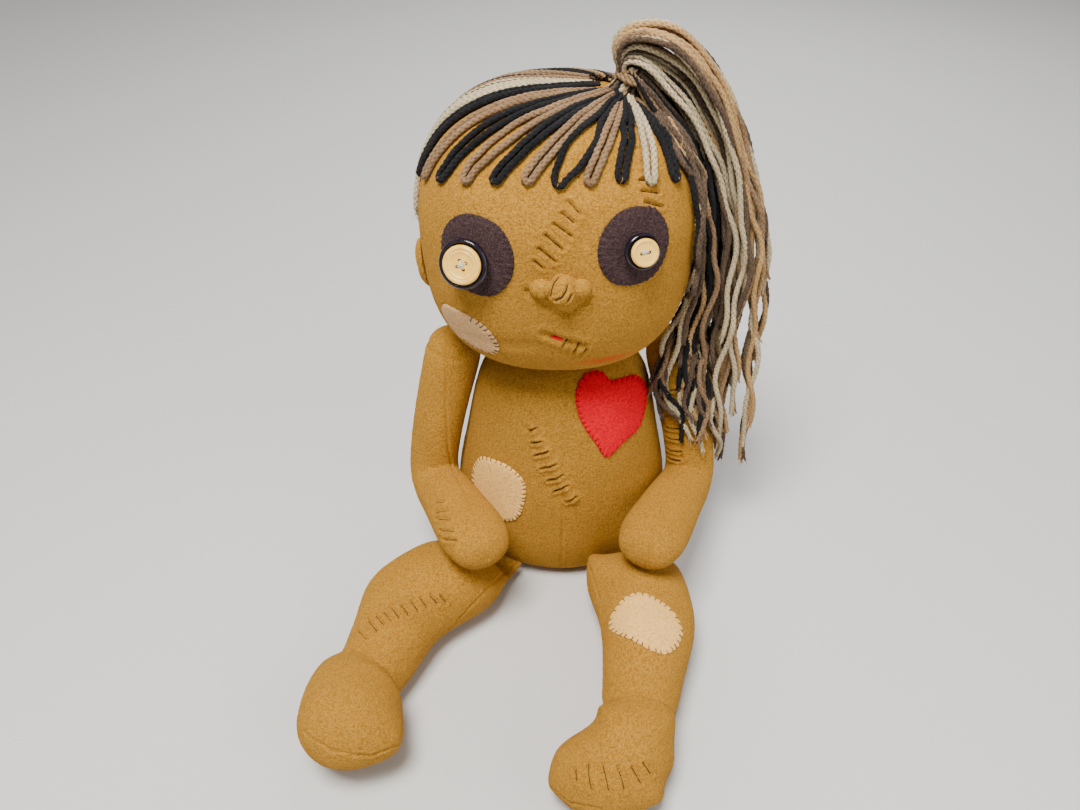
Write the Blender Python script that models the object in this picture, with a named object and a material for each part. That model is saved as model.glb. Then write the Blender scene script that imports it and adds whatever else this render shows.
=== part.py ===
"""A seated rag doll of felt, with a stuffed body, yarn hair and stacked button eyes.

Metres, +Z up. The origin is the middle of the flat seat under the torso. The doll
looks along -Y, so its own left side lies at +X and its own right side at -X.
"""

import itertools
import math

import bmesh
import bpy
from mathutils import Matrix, Vector
from mathutils.bvhtree import BVHTree

MM = 0.001

# Shared clearances and sheet sizes
SEWN_GAP = 0.3 * MM  # between two pieces that are sewn to each other
LAID_GAP = 0.45 * MM  # under a small form that is laid on the head
PATCH_GAP = 0.7 * MM  # under felt that is laid over a rounded form
RESTING_GAP = 0.8 * MM  # under a hand, which lies on a curved thigh
FELT = 1.3 * MM  # thickness of the felt patches
YARN = 3.8 * MM  # thickness of one yarn strand

# Torso
TORSO_WIDTH = 125 * MM
TORSO_DEPTH = 96 * MM
TORSO_HEIGHT = 146 * MM
COLLAR_RIM = 3 * MM  # felt round the neck's socket
TORSO_OUTLINE_SHARES = (  # height, width and depth, each as a share of the torso's
    (0.0, 0.72, 0.68),
    (0.03, 0.83, 0.80),
    (0.09, 0.92, 0.92),
    (0.21, 0.99, 0.99),
    (0.33, 1.0, 1.0),
    (0.46, 0.96, 0.98),
    (0.60, 0.89, 0.93),
    (0.74, 0.83, 0.86),
    (0.85, 0.77, 0.78),
    (0.93, 0.70, 0.67),
    (0.98, 0.56, 0.54),
    (1.0, 0.38, 0.43),
)

# Neck
NECK_WIDTH = 33 * MM  # of the ball that sits in the torso
NECK_DRAW_IN = 2.2 * MM  # from the ball's half width to the neck's above it
NECK_HEIGHT = 27 * MM  # above the torso
NECK_TOP_ROUND = 5 * MM

# Head
HEAD_WIDTH = 138 * MM
HEAD_DEPTH = 122 * MM
HEAD_HEIGHT = 138 * MM
HEAD_SIDE = -4 * MM  # of the head's middle from the neck's: it leans to its right
HEAD_LIFT = 5 * MM  # of the head's lowest point above the torso
HEAD_SQUARENESS = 2.5  # of its upper half: 2 is a plain oval
JAW_SQUARENESS = 3.1  # of its lower half
FACE_SQUARENESS = 2.3  # seen from above
CHIN_TAPER_SHARE = 0.05  # of the width lost at the chin

# Arms
ARM_WIDTH = 29.5 * MM
HAND_WIDTH = 38 * MM
HAND_THICKNESS = 31 * MM
SHOULDER_DROP = 8 * MM  # below the top of the torso
SHOULDER_BACK = 4 * MM  # behind the middle of the torso
ELBOW_HEIGHT = 62 * MM
ELBOW_FORWARD = 12 * MM
HAND_SPACING = 50 * MM  # from the middle plane to each hand
HAND_FORWARD = 66 * MM
FINGERTIP_REACH = 22 * MM  # from the middle of the hand to its end
ARM_BOW = 2 * MM  # of the upper arm outwards, and of the forearm downwards
SHOULDER_SIZE_SHARE = 1.07
ARM_SHOULDER_SHARES = (0.35, 0.97)  # how high its dome starts, and the size there
ELBOW_SIZE_SHARES = (0.98, 1.04)
FINGER_SHARES = (0.55, 0.88, 0.86)  # of the reach, the palm's width and thickness

# Legs
LEG_WIDTH = 57 * MM
LEG_THICKNESS = 50 * MM
KNEE_WIDTH = 52 * MM
ANKLE_WIDTH = 37 * MM
ANKLE_HEIGHT = 21 * MM  # of the middle of the ankle above the floor
RIGHT_LEG_BOW = 11 * MM  # of the knee, outwards
LEFT_LEG_BOW = 6 * MM
RIGHT_LEG_LENGTH = 114 * MM  # from the hip seam to the ankle seam
LEFT_LEG_LENGTH = 121 * MM
HIP_SPACING = 44 * MM  # from the middle plane to the middle of each hip seam
HIP_HEIGHT = 12 * MM
HIP_SEAM_WIDTH = 46 * MM
HIP_SEAM_THICKNESS = 2.6 * MM
HIP_SEAM_LENGTH = 13 * MM  # unstuffed, so that the leg folds there
HIP_GAP = 0.9 * MM  # between the torso and what swings up with the leg
HIP_EDGE_SHARE = 0.15  # of the seam's thickness, left at its folding edge
HIP_EDGE_REACH_SHARE = 0.8  # of the seam's thickness, from its folding edge to its full one
HIP_SEAM_SHARES = (-0.4, 0.9, 2.9)  # of its length: its start, its end and the full leg
LEG_RISE_SHARES = (1.08, 0.52)  # of the seam's width and the leg's thickness, half way up
LEG_THICKNESS_SHARES = (0.95, 0.98, 0.88)  # where it is full, at the knee and below it
KNEE_REACH_SHARE = 0.55  # of the leg's length
SHIN_SHARES = (0.55, 0.97)  # of the way from the knee to the ankle, and of its mean width
ANKLE_FLAT_SHARE = 0.98  # of the ankle's height
RIGHT_LEG_SPLAY = math.radians(32)
LEFT_LEG_SPLAY = math.radians(-3)

# Feet
FOOT_WIDTH = 52 * MM
FOOT_THICKNESS = 49 * MM
FOOT_LENGTH = 56 * MM
RIGHT_FOOT_TURN = math.radians(-2)
LEFT_FOOT_TURN = math.radians(-46)
RIGHT_FOOT_PITCH = math.radians(24)
LEFT_FOOT_PITCH = math.radians(0)
FOOT_REACH_SHARES = (0.14, 0.26, 0.56, 0.36)  # heel, then instep and ball, then the tip
FOOT_SIZE_SHARES = ((1.0, 0.93), (0.97, 1.0), (0.95, 0.94))  # heel, instep and ball
HEEL_HEIGHT_SHARE = 0.92  # of half the foot's thickness
FOOT_BEND_RINGS = 6  # over which the foot turns from the leg's way to its own

# Face. Places are shares of half the head's width and height, from its middle
RIGHT_EYE_SHARES = (-0.558, 0.181)
LEFT_EYE_SHARES = (0.486, 0.261)
RIGHT_EYE_PATCH_WIDTH = 37.5 * MM
RIGHT_EYE_PATCH_HEIGHT = 39 * MM
LEFT_EYE_PATCH_WIDTH = 35 * MM
LEFT_EYE_PATCH_HEIGHT = 37 * MM
RIGHT_BUTTON_SHARES = (-0.16, -0.077)  # of half its felt, from the middle of the felt
LEFT_BUTTON_SHARES = (0.086, 0.027)
BUTTON_LOOK_UP = 0.35  # rise of the buttons' axis for each unit of its level reach
BUTTON_LOOK_SIDE_SHARE = 0.6  # of the sideways lean of the felt under it
RIGHT_BLACK_BUTTON = 23 * MM
LEFT_BLACK_BUTTON = 16.5 * MM
RIGHT_CREAM_BUTTON = 17.8 * MM
LEFT_CREAM_BUTTON = 12.7 * MM
BLACK_BUTTON_THICKNESS = 3.2 * MM
CREAM_BUTTON_THICKNESS = 2.6 * MM
BUTTON_RIM = 1.7 * MM
BUTTON_SLOPE_SHARE = 1.4  # of the rim's width, from the edge to the dish's floor
BUTTON_DISH = 0.9 * MM
BUTTON_HOLE = 1.7 * MM
BUTTON_HOLE_SPACING = 3.8 * MM
BUTTON_GAP = 0.3 * MM
BUTTON_EDGE_SHARE = 0.3  # of its thickness, rounded off round its back
BUTTON_BELLY_SHARES = (0.3, 0.5, 0.86, 0.25)  # of its edge, its thickness twice, its edge
BUTTON_CREST_SHARES = (0.5, 0.93)  # of the rim's width, and of the thickness inside it
NOSE_WIDTH = 18 * MM  # of the ball
NOSE_SHARES = (0.058, 0.0145)
NOSE_BLEND_POWER = 4  # how sharply the ball and the nostrils meet
NOSE_PROUD = 10 * MM
NOSTRIL_WIDTH = 9 * MM
NOSTRIL_SPREAD = 10.5 * MM  # from the middle of the ball to each nostril
NOSTRIL_PROUD = 4.5 * MM
MOUTH_WIDTH = 10 * MM
MOUTH_HEIGHT = 3.4 * MM
MOUTH_SHARES = (0.0, -0.43)
EAR_WIDTH = 16 * MM
EAR_HEIGHT = 28 * MM
EAR_DROP_SHARE = 0.29  # of half the head's height, below its middle
EAR_FORWARD_SHARE = 0.05  # of half its depth
EAR_PROUD = 3.8 * MM
EAR_INSET_SHARE = 0.5  # of the way in to a ring that follows the head under an ear

# Patches
HEART_WIDTH = 37 * MM
HEART_HEIGHT = 43 * MM
HEART_SIDE_SHARE = 0.384  # of half the torso's width
HEART_LIFT_SHARE = 0.808  # of its height
BELLY_PATCH_WIDTH = 30 * MM
BELLY_PATCH_HEIGHT = 29 * MM
BELLY_PATCH_SIDE_SHARE = -0.592
BELLY_PATCH_LIFT_SHARE = 0.466
CHEEK_PATCH_WIDTH = 30 * MM
CHEEK_PATCH_HEIGHT = 22 * MM
CHEEK_PATCH_SHARES = (-0.638, -0.493)
KNEE_PATCH_WIDTH = 37 * MM
KNEE_PATCH_HEIGHT = 33 * MM
KNEE_PATCH_SIDE = 3 * MM  # of the middle of the leg
KNEE_PATCH_REACH_SHARE = 0.66  # of the leg's length, from the hip seam

# Hair
HAIR_BASE_SIDE = 29 * MM  # from the middle of the head
SLOPE_STEP_SHARE = 0.02  # of a direction, over which the head's slope is read
KNOT_WIDTH = 17 * MM  # at its foot
KNOT_HEIGHT = 15.5 * MM
KNOT_INSET_SHARE = 0.5  # of the way in to a ring that follows the head under the knot
KNOT_SHARES = (  # height, and width as a share of its foot's
    (0.0, 1.0), (0.22, 0.80), (0.45, 0.68), (0.85, 0.66), (1.0, 0.52),
)
TIE_THICKNESS = 3.4 * MM
TIE_HEIGHT_SHARE = 0.62  # of the knot's height
FRINGE_WIDTH = 8 * MM
FRINGE_START = 14 * MM  # from the middle of the knot
FRINGE_FILL_SHARE = 0.34  # of the spacing between two loops, to each side of a loop
FRINGE_END_SHARE = 0.6  # of a loop's width, at its end
FRINGE_FIRST_ANGLE = math.radians(-98)
FRINGE_LAST_ANGLE = math.radians(66)
CAP_FIRST_ANGLE = math.radians(118)
CAP_LAST_ANGLE = math.radians(250)
CAP_THICKNESS = 4.4 * MM
CAP_GAP = 1.05 * MM  # between this layer and the head
CAP_RIB = 1 * MM
CAP_START_SHARE = 0.14  # of the way from the knot to the nape
NAPE_SHARE = -0.50  # of half the head's height, from its middle
LOCK_WIDTH = 13 * MM
LOCK_DEPTH = 14.4 * MM
LOCK_GAP = 0.5 * MM
PONYTAIL_RISE = 5 * MM  # of the ponytail's crest above its root
PONYTAIL_CREST_SIDE = 8 * MM  # of the crest beyond its root
PONYTAIL_SIDE_GAP = 1.2 * MM  # between the hanging locks and the ear
PONYTAIL_ARM_GAP = 5 * MM  # between the hanging locks and the elbow
PONYTAIL_LENGTH = 292 * MM
PONYTAIL_ROUNDNESS = 1.6  # of its fall beside the head: 1 is straight, 2 an oval
PONYTAIL_ROOT_SHARES = (0.94, 0.62)  # how far below the pivot its first rings lie
PONYTAIL_BENT_SHARE = 0.34  # of its length, from the root to beyond the crest
PONYTAIL_SPREAD_SHARES = (  # along its length, and of its full thickness
    (0.0, 0.44), (0.06, 0.52), (0.15, 0.76), (0.34, 1.0), (0.8, 1.0), (1.0, 0.92),
)
LOCK_LENGTH_SHARES = {
    "front": {"inner": 0.60, "outer": 0.80},
    "middle": {"inner": 0.61, "outer": 0.94},
    "back": {"inner": 0.60, "outer": 0.90},
}
LOCK_END_SHARE = 0.55  # of a lock's thickness, at its lower end
LOCK_STEP_SHARES = (0.5, 1.2)  # of its width, between rings where it bends and below
LOCK_LAST_STEP_SHARE = 0.33  # of its width, at least, before its end

# How finely the forms are drawn
BODY_SIDES = 36
LIMB_SIDES = 20
NECK_SIDES = 20
LOCK_SIDES = 8
FRINGE_SIDES = 8
FRINGE_RINGS = 9
CAP_COLUMNS = 24
CAP_ROWS = 8
TIE_SIDES = 24
BUTTON_SIDES = 24
HOLE_SIDES = 8
NOSE_SIDES = 24
NOSE_RINGS = 6
EAR_SIDES = 16
EAR_RINGS = 5
MOUTH_SIDES = 16
PATCH_RINGS = 5


def felt(name, colour):
    """A rough woollen felt in the given linear colour."""
    return principled(name, colour, 0.95)


def principled(name, colour, roughness):
    material = bpy.data.materials.new(name)
    material.use_nodes = True
    shader = material.node_tree.nodes["Principled BSDF"]
    shader.inputs["Base Color"].default_value = (*colour, 1.0)
    shader.inputs["Roughness"].default_value = roughness
    shader.inputs["Metallic"].default_value = 0.0
    material.diffuse_color = (*colour, 1.0)
    return material


def add_object(name, vertices, faces, material, parent=None):
    """One closed mesh in world coordinates, kept by an empty where it moves."""
    mesh = bpy.data.meshes.new(name)
    origin = parent.location if parent else Vector()
    mesh.from_pydata([Vector(v) - origin for v in vertices], [], faces)
    shell = bmesh.new()
    shell.from_mesh(mesh)
    bmesh.ops.recalc_face_normals(shell, faces=shell.faces)
    if shell.calc_volume(signed=True) < 0:
        bmesh.ops.reverse_faces(shell, faces=shell.faces)
    shell.to_mesh(mesh)
    shell.free()
    mesh.materials.append(material)
    mesh.shade_smooth()
    mesh.set_sharp_from_angle(angle=math.radians(50))
    obj = bpy.data.objects.new(name, mesh)
    bpy.context.collection.objects.link(obj)
    if parent:
        obj.parent = parent
    return obj


def add_pivot(name, place):
    """An empty on a joint's axis, which carries the pieces that turn there."""
    pivot = bpy.data.objects.new(name, None)
    pivot.location = place
    bpy.context.collection.objects.link(pivot)
    return pivot


def rounded(stations, steps):
    """More stations on a smooth curve through the given tuples of numbers."""
    curve = []
    last = len(stations) - 1
    for i in range(last):
        before = stations[max(i - 1, 0)]
        start, end = stations[i], stations[i + 1]
        after = stations[min(i + 2, last)]
        for k in range(steps):
            t = k / steps
            curve.append(tuple(
                0.5 * (2 * b + (c - a) * t + (2 * a - 5 * b + 4 * c - d) * t ** 2
                       + (3 * b - a - 3 * c + d) * t ** 3)
                for a, b, c, d in zip(before, start, end, after)
            ))
    curve.append(tuple(stations[last]))
    return curve


def oval(centre, across, along, half_across, half_along, sides, power=2):
    """A ring of points. Half a step of turn leaves it an edge at its lowest place."""
    points = []
    for k in range(sides):
        turn = 2 * math.pi * (k + 0.5) / sides
        side, rise = (math.copysign(abs(wave) ** (2 / power), wave)
                      for wave in (math.sin(turn), math.cos(turn)))
        points.append(centre + across * (half_across * side)
                      - along * (half_along * rise))
    return points


def loft(rings, start_pole=None, end_pole=None):
    """Vertices and faces through rings of as many points each, closed at both ends.

    An end with a pole is closed by a fan to that point, and one without by strips
    from the ring's lower half to its upper half.
    """
    sides = len(rings[0])
    vertices = [point for ring in rings for point in ring]
    faces = []
    for r in range(len(rings) - 1):
        low, high = r * sides, (r + 1) * sides
        for k in range(sides):
            n = (k + 1) % sides
            faces.append((low + k, low + n, high + n, high + k))
    first = list(range(sides))
    final = list(range((len(rings) - 1) * sides, len(rings) * sides))
    for ring, pole in ((first, start_pole), (final, end_pole)):
        if pole is None:
            faces += strips_across(ring)
            continue
        vertices.append(pole)
        tip = len(vertices) - 1
        for k in range(sides):
            faces.append((ring[k], ring[(k + 1) % sides], tip))
    return vertices, faces


def strips_across(ring):
    """Faces that close a ring, from each point of its lower half to the one above."""
    count = len(ring)
    first = -(count // 4)
    strips = []
    for k in range(first, first + count // 2 - 1):
        above = count // 2 - 1 - k
        strips.append((ring[k % count], ring[(k + 1) % count],
                       ring[(above - 1) % count], ring[above % count]))
    return strips


def tube_rings(path, sizes, side_axis, sides):
    """Rings square to a path, each with its own half width and half thickness."""
    rings = []
    for i, centre in enumerate(path):
        tangent = (path[min(i + 1, len(path) - 1)] - path[max(i - 1, 0)]).normalized()
        up = side_axis.cross(tangent).normalized()
        across = tangent.cross(up).normalized()
        half_across, half_along = sizes[i]
        rings.append(oval(centre, across, up, half_across, half_along, sides))
    return rings


def torso_outline():
    return [
        (height * TORSO_HEIGHT, width * TORSO_WIDTH / 2, depth * TORSO_DEPTH / 2)
        for height, width, depth in rounded(TORSO_OUTLINE_SHARES, 2)
    ]


def torso_half_sizes(height):
    """Half the torso's width and depth at a height, read from its outline."""
    outline = torso_outline()
    for low, high in zip(outline, outline[1:]):
        if low[0] <= height <= high[0]:
            share = (height - low[0]) / (high[0] - low[0])
            return tuple(low[n] + share * (high[n] - low[n]) for n in (1, 2))
    return None


def clear_of_torso(point, direction, clearance):
    """The point, moved along direction until it lies outside the torso."""
    sizes = torso_half_sizes(point.z)
    if sizes is None:
        return point
    half_width, half_depth = (size + clearance for size in sizes)
    scaled = Vector((point.x / half_width, point.y / half_depth))
    heading = Vector((direction.x / half_width, direction.y / half_depth))
    inside = scaled.dot(scaled) - 1
    if inside >= 0:
        return point
    squared, mixed = heading.dot(heading), scaled.dot(heading)
    travel = (math.sqrt(mixed ** 2 - squared * inside) - mixed) / squared
    return point + direction * travel


def neck_ball():
    return NECK_WIDTH / 2


def neck_waist():
    return neck_ball() - NECK_DRAW_IN


def neck_waist_height():
    """Height above the neck's pivot at which its ball has narrowed to its waist."""
    return math.sqrt(neck_ball() ** 2 - neck_waist() ** 2)


def make_torso(material):
    rings = []
    for height, half_width, half_depth in torso_outline():
        rings.append(oval(Vector((0, 0, height)), Vector((1, 0, 0)), Vector((0, 1, 0)),
                          half_width, half_depth, BODY_SIDES))
    socket = neck_ball() + SEWN_GAP
    steps = 5
    for k in range(steps):
        dip = math.pi / 2 * k / steps
        radius = socket * math.cos(dip)
        centre = Vector((0, 0, TORSO_HEIGHT - socket * math.sin(dip)))
        rings.append(oval(centre, Vector((1, 0, 0)), Vector((0, 1, 0)),
                          radius, radius, BODY_SIDES))
    pole = Vector((0, 0, TORSO_HEIGHT - socket))
    vertices, faces = loft(rings, end_pole=pole)
    return add_object("torso", vertices, faces, material)


def neck_profile(clearance):
    """Radius and height above the pivot, from the neck's waist to its rounded top."""
    waist = neck_waist()
    straight = NECK_HEIGHT - NECK_TOP_ROUND
    profile = [(waist + clearance, neck_waist_height())]
    for k in range(4):
        turn = math.pi / 2 * k / 4
        profile.append((
            waist - NECK_TOP_ROUND * (1 - math.cos(turn)) + clearance,
            straight + NECK_TOP_ROUND * math.sin(turn) + clearance,
        ))
    return profile


def make_neck(material, pivot):
    rings = []
    ball = neck_ball()
    top_turn = math.asin(neck_waist_height() / ball)
    steps = 9
    for k in range(1, steps):
        turn = -math.pi / 2 + (math.pi / 2 + top_turn) * k / steps
        rings.append((ball * math.cos(turn), ball * math.sin(turn)))
    rings += neck_profile(0)
    loops = [
        oval(Vector((0, 0, TORSO_HEIGHT + height)), Vector((1, 0, 0)),
             Vector((0, 1, 0)), radius, radius, NECK_SIDES)
        for radius, height in rings
    ]
    bottom = Vector((0, 0, TORSO_HEIGHT - ball))
    top = Vector((0, 0, TORSO_HEIGHT + NECK_HEIGHT))
    vertices, faces = loft(loops, start_pole=bottom, end_pole=top)
    return add_object("neck", vertices, faces, material, pivot)


def head_middle():
    return Vector((HEAD_SIDE, 0, TORSO_HEIGHT + HEAD_LIFT + HEAD_HEIGHT / 2))


def squareness(height_share):
    return HEAD_SQUARENESS if height_share > 0 else JAW_SQUARENESS


def head_width_share(height_share):
    """Width of the head at a height, which runs from -1 at the chin to 1 at the crown."""
    power = squareness(height_share)
    width = max(1 - abs(height_share) ** power, 0) ** (1 / power)
    return width * (1 - CHIN_TAPER_SHARE * max(-height_share, 0))


def head_point(direction, proud=0.0):
    """The place on the head's surface in a direction from its middle."""
    low, high = 0.0, HEAD_HEIGHT
    for _ in range(40):
        reach = (low + high) / 2
        place = direction * reach
        share = 2 * place.z / HEAD_HEIGHT
        if abs(share) >= 1:
            high = reach
            continue
        width = head_width_share(share)
        across = abs(2 * place.x / (HEAD_WIDTH * width))
        along = abs(2 * place.y / (HEAD_DEPTH * width))
        if across ** FACE_SQUARENESS + along ** FACE_SQUARENESS > 1:
            high = reach
        else:
            low = reach
    return head_middle() + direction * (low + proud)


def make_head(material, pivot):
    bore = neck_profile(SEWN_GAP)
    mouth = neck_ball() + SEWN_GAP
    first_share = 2 * (mouth + COLLAR_RIM + abs(HEAD_SIDE)) / HEAD_DEPTH
    first_turn = math.acos(first_share ** (JAW_SQUARENESS / 2))
    steps = 17
    rings = []
    middle = head_middle()
    for k in range(steps):
        turn = -first_turn + (first_turn + math.pi / 2) * k / steps
        height_share = math.copysign(abs(math.sin(turn)) ** (2 / squareness(turn)), turn)
        width = head_width_share(height_share)
        centre = middle + Vector((0, 0, height_share * HEAD_HEIGHT / 2))
        rings.append(oval(centre, Vector((1, 0, 0)), Vector((0, 1, 0)),
                          width * HEAD_WIDTH / 2, width * HEAD_DEPTH / 2, BODY_SIDES,
                          FACE_SQUARENESS))
    floor = rings[0][0].z - TORSO_HEIGHT
    mouth_radius = math.sqrt(neck_ball() ** 2 - floor ** 2) + SEWN_GAP
    inner = [(mouth_radius, floor)] + [step for step in bore if step[1] > floor]
    inner_rings = [
        oval(Vector((0, 0, TORSO_HEIGHT + height)), Vector((1, 0, 0)),
             Vector((0, 1, 0)), radius, radius, BODY_SIDES)
        for radius, height in inner
    ]
    rings = list(reversed(inner_rings)) + rings
    roof = Vector((0, 0, TORSO_HEIGHT + NECK_HEIGHT + SEWN_GAP))
    crown = middle + Vector((0, 0, HEAD_HEIGHT / 2))
    vertices, faces = loft(rings, start_pole=roof, end_pole=crown)
    return add_object("head", vertices, faces, material, pivot)


def shoulder_height():
    return TORSO_HEIGHT - SHOULDER_DROP


def shoulder_place(side):
    """The middle of a shoulder, just outside the torso at its own height."""
    half_width, _ = torso_half_sizes(shoulder_height() - ARM_WIDTH / 4)
    spacing = half_width + SEWN_GAP + ARM_WIDTH / 2
    return Vector((side * spacing, SHOULDER_BACK, shoulder_height()))


def arm_path(side):
    """Points down the middle of an arm, with half its width and thickness at each."""
    shoulder = shoulder_place(side)
    elbow_half, _ = torso_half_sizes(ELBOW_HEIGHT)
    elbow = Vector((side * (elbow_half + SEWN_GAP + ARM_WIDTH / 2),
                    -ELBOW_FORWARD, ELBOW_HEIGHT))
    hand_height = LEG_THICKNESS + RESTING_GAP + HAND_THICKNESS / 2
    hand = Vector((side * HAND_SPACING, -HAND_FORWARD, hand_height))
    reach = (hand - elbow).normalized() * FINGERTIP_REACH
    arm, palm, flat = ARM_WIDTH / 2, HAND_WIDTH / 2, HAND_THICKNESS / 2
    upper = shoulder.lerp(elbow, 0.5) + Vector((side * ARM_BOW, 0, 0))
    fore = elbow.lerp(hand, 0.5) - Vector((0, 0, ARM_BOW))
    rise, top = (arm * share for share in ARM_SHOULDER_SHARES)
    elbow_wide, elbow_thick = (arm * share for share in ELBOW_SIZE_SHARES)
    way, finger_wide, finger_flat = FINGER_SHARES
    knots = [
        (*(shoulder + Vector((0, 0, rise))), top, top),
        (*shoulder, arm * SHOULDER_SIZE_SHARE, arm * SHOULDER_SIZE_SHARE),
        (*upper, arm, arm),
        (*elbow, elbow_wide, elbow_thick),
        (*fore, (arm + palm) / 2, arm),
        (*hand, palm, flat),
        (*(hand + reach * way), palm * finger_wide, flat * finger_flat),
    ]
    return rounded(knots, 3), hand + reach


def make_arm(side, thigh, material, pivot):
    stations, fingertip = arm_path(side)
    path = [Vector(station[:3]) for station in stations]
    sizes = [station[3:] for station in stations]
    top = path[0]
    dome_height = Vector((0, 0, ARM_WIDTH / 2 * (1 - ARM_SHOULDER_SHARES[0])))
    dome = []
    for k in (3, 2, 1):
        turn = math.pi / 2 * k / 4
        lift = dome_height * math.sin(turn)
        dome.append((top + lift, tuple(size * math.cos(turn) for size in sizes[0])))
    tip = []
    for k in (1, 2, 3):
        turn = math.pi / 2 * k / 4
        place = path[-1].lerp(fingertip, math.sin(turn))
        tip.append((place, tuple(size * math.cos(turn) for size in sizes[-1])))
    path = [place for place, _ in dome] + path + [place for place, _ in tip]
    sizes = [size for _, size in dome] + sizes + [size for _, size in tip]
    rings = tube_rings(path, sizes, Vector((1, 0, 0)), LIMB_SIDES)
    outward = Vector((side, 0, 0))
    rings = [[lifted_off(clear_of_torso(point, outward, SEWN_GAP), thigh, RESTING_GAP)
              for point in ring] for ring in rings]
    crown = clear_of_torso(top + dome_height, outward, SEWN_GAP)
    end = lifted_off(fingertip, thigh, RESTING_GAP)
    vertices, faces = loft(rings, start_pole=crown, end_pole=end)
    return add_object(side_name("arm", side), vertices, faces, material, pivot)


def side_name(piece, side):
    return piece + ("_left" if side > 0 else "_right")


def lifted_off(point, below, clearance):
    """The point, raised where it would come too near the piece that lies below it."""
    start = Vector((point.x, point.y, HEAD_HEIGHT))
    place, _, _, _ = below.ray_cast(start, Vector((0, 0, -1)))
    if place is None or point.z >= place.z + clearance:
        return point
    return Vector((point.x, point.y, place.z + clearance))


def surface_of(obj):
    """A tree of the object's surface in world coordinates, for placing pieces on it."""
    bpy.context.view_layer.update()
    matrix = obj.matrix_world
    vertices = [matrix @ vertex.co for vertex in obj.data.vertices]
    return BVHTree.FromPolygons(vertices, [tuple(p.vertices) for p in obj.data.polygons])


def heading(angle):
    """A level direction: forward at 0, and towards the doll's outer side above it."""
    return Vector((math.sin(angle), -math.cos(angle), 0))


def hip_place(side):
    """The middle of a hip's fold, in front of the torso by the seam's half thickness."""
    start = Vector((side * HIP_SPACING, 0, HIP_HEIGHT))
    fold = HIP_SEAM_THICKNESS * HIP_EDGE_REACH_SHARE
    return clear_of_torso(start, Vector((0, -1, 0)), SEWN_GAP + fold)


def leg_heading(side):
    splay = LEFT_LEG_SPLAY if side > 0 else RIGHT_LEG_SPLAY
    return heading(side * splay)


def leg_length(side):
    return LEFT_LEG_LENGTH if side > 0 else RIGHT_LEG_LENGTH


def ankle_place(side):
    ankle = hip_place(side) + leg_heading(side) * leg_length(side)
    ankle.z = ANKLE_HEIGHT
    return ankle


def on_floor(point):
    return Vector((point.x, point.y, max(point.z, 0)))


def leg_stations(side):
    """Place, half width and half thickness down a leg, from its seam to its ankle."""
    hip, ankle = hip_place(side), ankle_place(side)
    along = leg_heading(side)
    seam, wide = HIP_SEAM_THICKNESS / 2, LEG_WIDTH / 2
    thick, knee = LEG_THICKNESS / 2, KNEE_WIDTH / 2
    start, end, full = (HIP_SEAM_LENGTH * share for share in HIP_SEAM_SHARES)
    rise_wide, rise_thick = LEG_RISE_SHARES
    full_thick, knee_thick, shin_thick = (thick * share for share in LEG_THICKNESS_SHARES)
    shin_way, shin_wide = SHIN_SHARES
    top = Vector((hip.x, hip.y, thick))
    stuffed = top + along * full
    middle = top + along * (leg_length(side) * KNEE_REACH_SHARE)
    middle += Vector((LEFT_LEG_BOW if side > 0 else -RIGHT_LEG_BOW, 0, 0))
    lower = middle.lerp(ankle, shin_way)
    return [
        (*(hip + along * start), HIP_SEAM_WIDTH / 2, seam),
        (*(hip + along * end), HIP_SEAM_WIDTH / 2, seam),
        (*(hip.lerp(stuffed, 0.5)), HIP_SEAM_WIDTH / 2 * rise_wide, thick * rise_thick),
        (*stuffed, wide, full_thick),
        (*middle, knee, knee_thick),
        (*lower, (knee + ANKLE_WIDTH / 2) / 2 * shin_wide, shin_thick),
        (*ankle, ANKLE_WIDTH / 2, ANKLE_HEIGHT * ANKLE_FLAT_SHARE),
    ]


def make_leg(side, material, pivot):
    stations = rounded(leg_stations(side), 3)
    path = [Vector(station[:3]) for station in stations]
    sizes = [station[3:] for station in stations]
    along = leg_heading(side)
    across = Vector((0, 0, 1)).cross(along)
    fold = HIP_SEAM_THICKNESS * HIP_EDGE_REACH_SHARE
    rings = []
    for place, (half_width, half_thick) in zip(path, sizes):
        ring = oval(place, across, Vector((0, 0, 1)), half_width, half_thick, LIMB_SIDES)
        ring = [clear_of_torso(point, along, HIP_GAP + fold) for point in ring]
        rings.append([on_floor(point) for point in ring])
    rings = without_stalled_rings(rings, along)
    flat = Vector((1, 1, HIP_EDGE_SHARE))
    level = Vector((0, 0, HIP_HEIGHT))
    edge = [(point - level) * flat + level - along * fold for point in rings[0]]
    rings.insert(0, edge)
    vertices, faces = loft(rings)
    return add_object(side_name("leg", side), vertices, faces, material, pivot)


def without_stalled_rings(rings, along):
    """The rings, less those that were pushed out to the place of the next one."""
    kept = [rings[-1]]
    for ring in reversed(rings[:-1]):
        steps = [(after - point).dot(along) for point, after in zip(ring, kept[0])]
        if min(steps) > SEWN_GAP:
            kept.insert(0, ring)
    return kept


def foot_axes(side):
    """The way a foot points, and the level direction across it."""
    turn = side * (LEFT_FOOT_TURN if side > 0 else RIGHT_FOOT_TURN)
    pitch = LEFT_FOOT_PITCH if side > 0 else RIGHT_FOOT_PITCH
    level = heading(turn)
    toes = level * math.cos(pitch) + Vector((0, 0, math.sin(pitch)))
    return toes, Vector((0, 0, 1)).cross(level)


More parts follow.
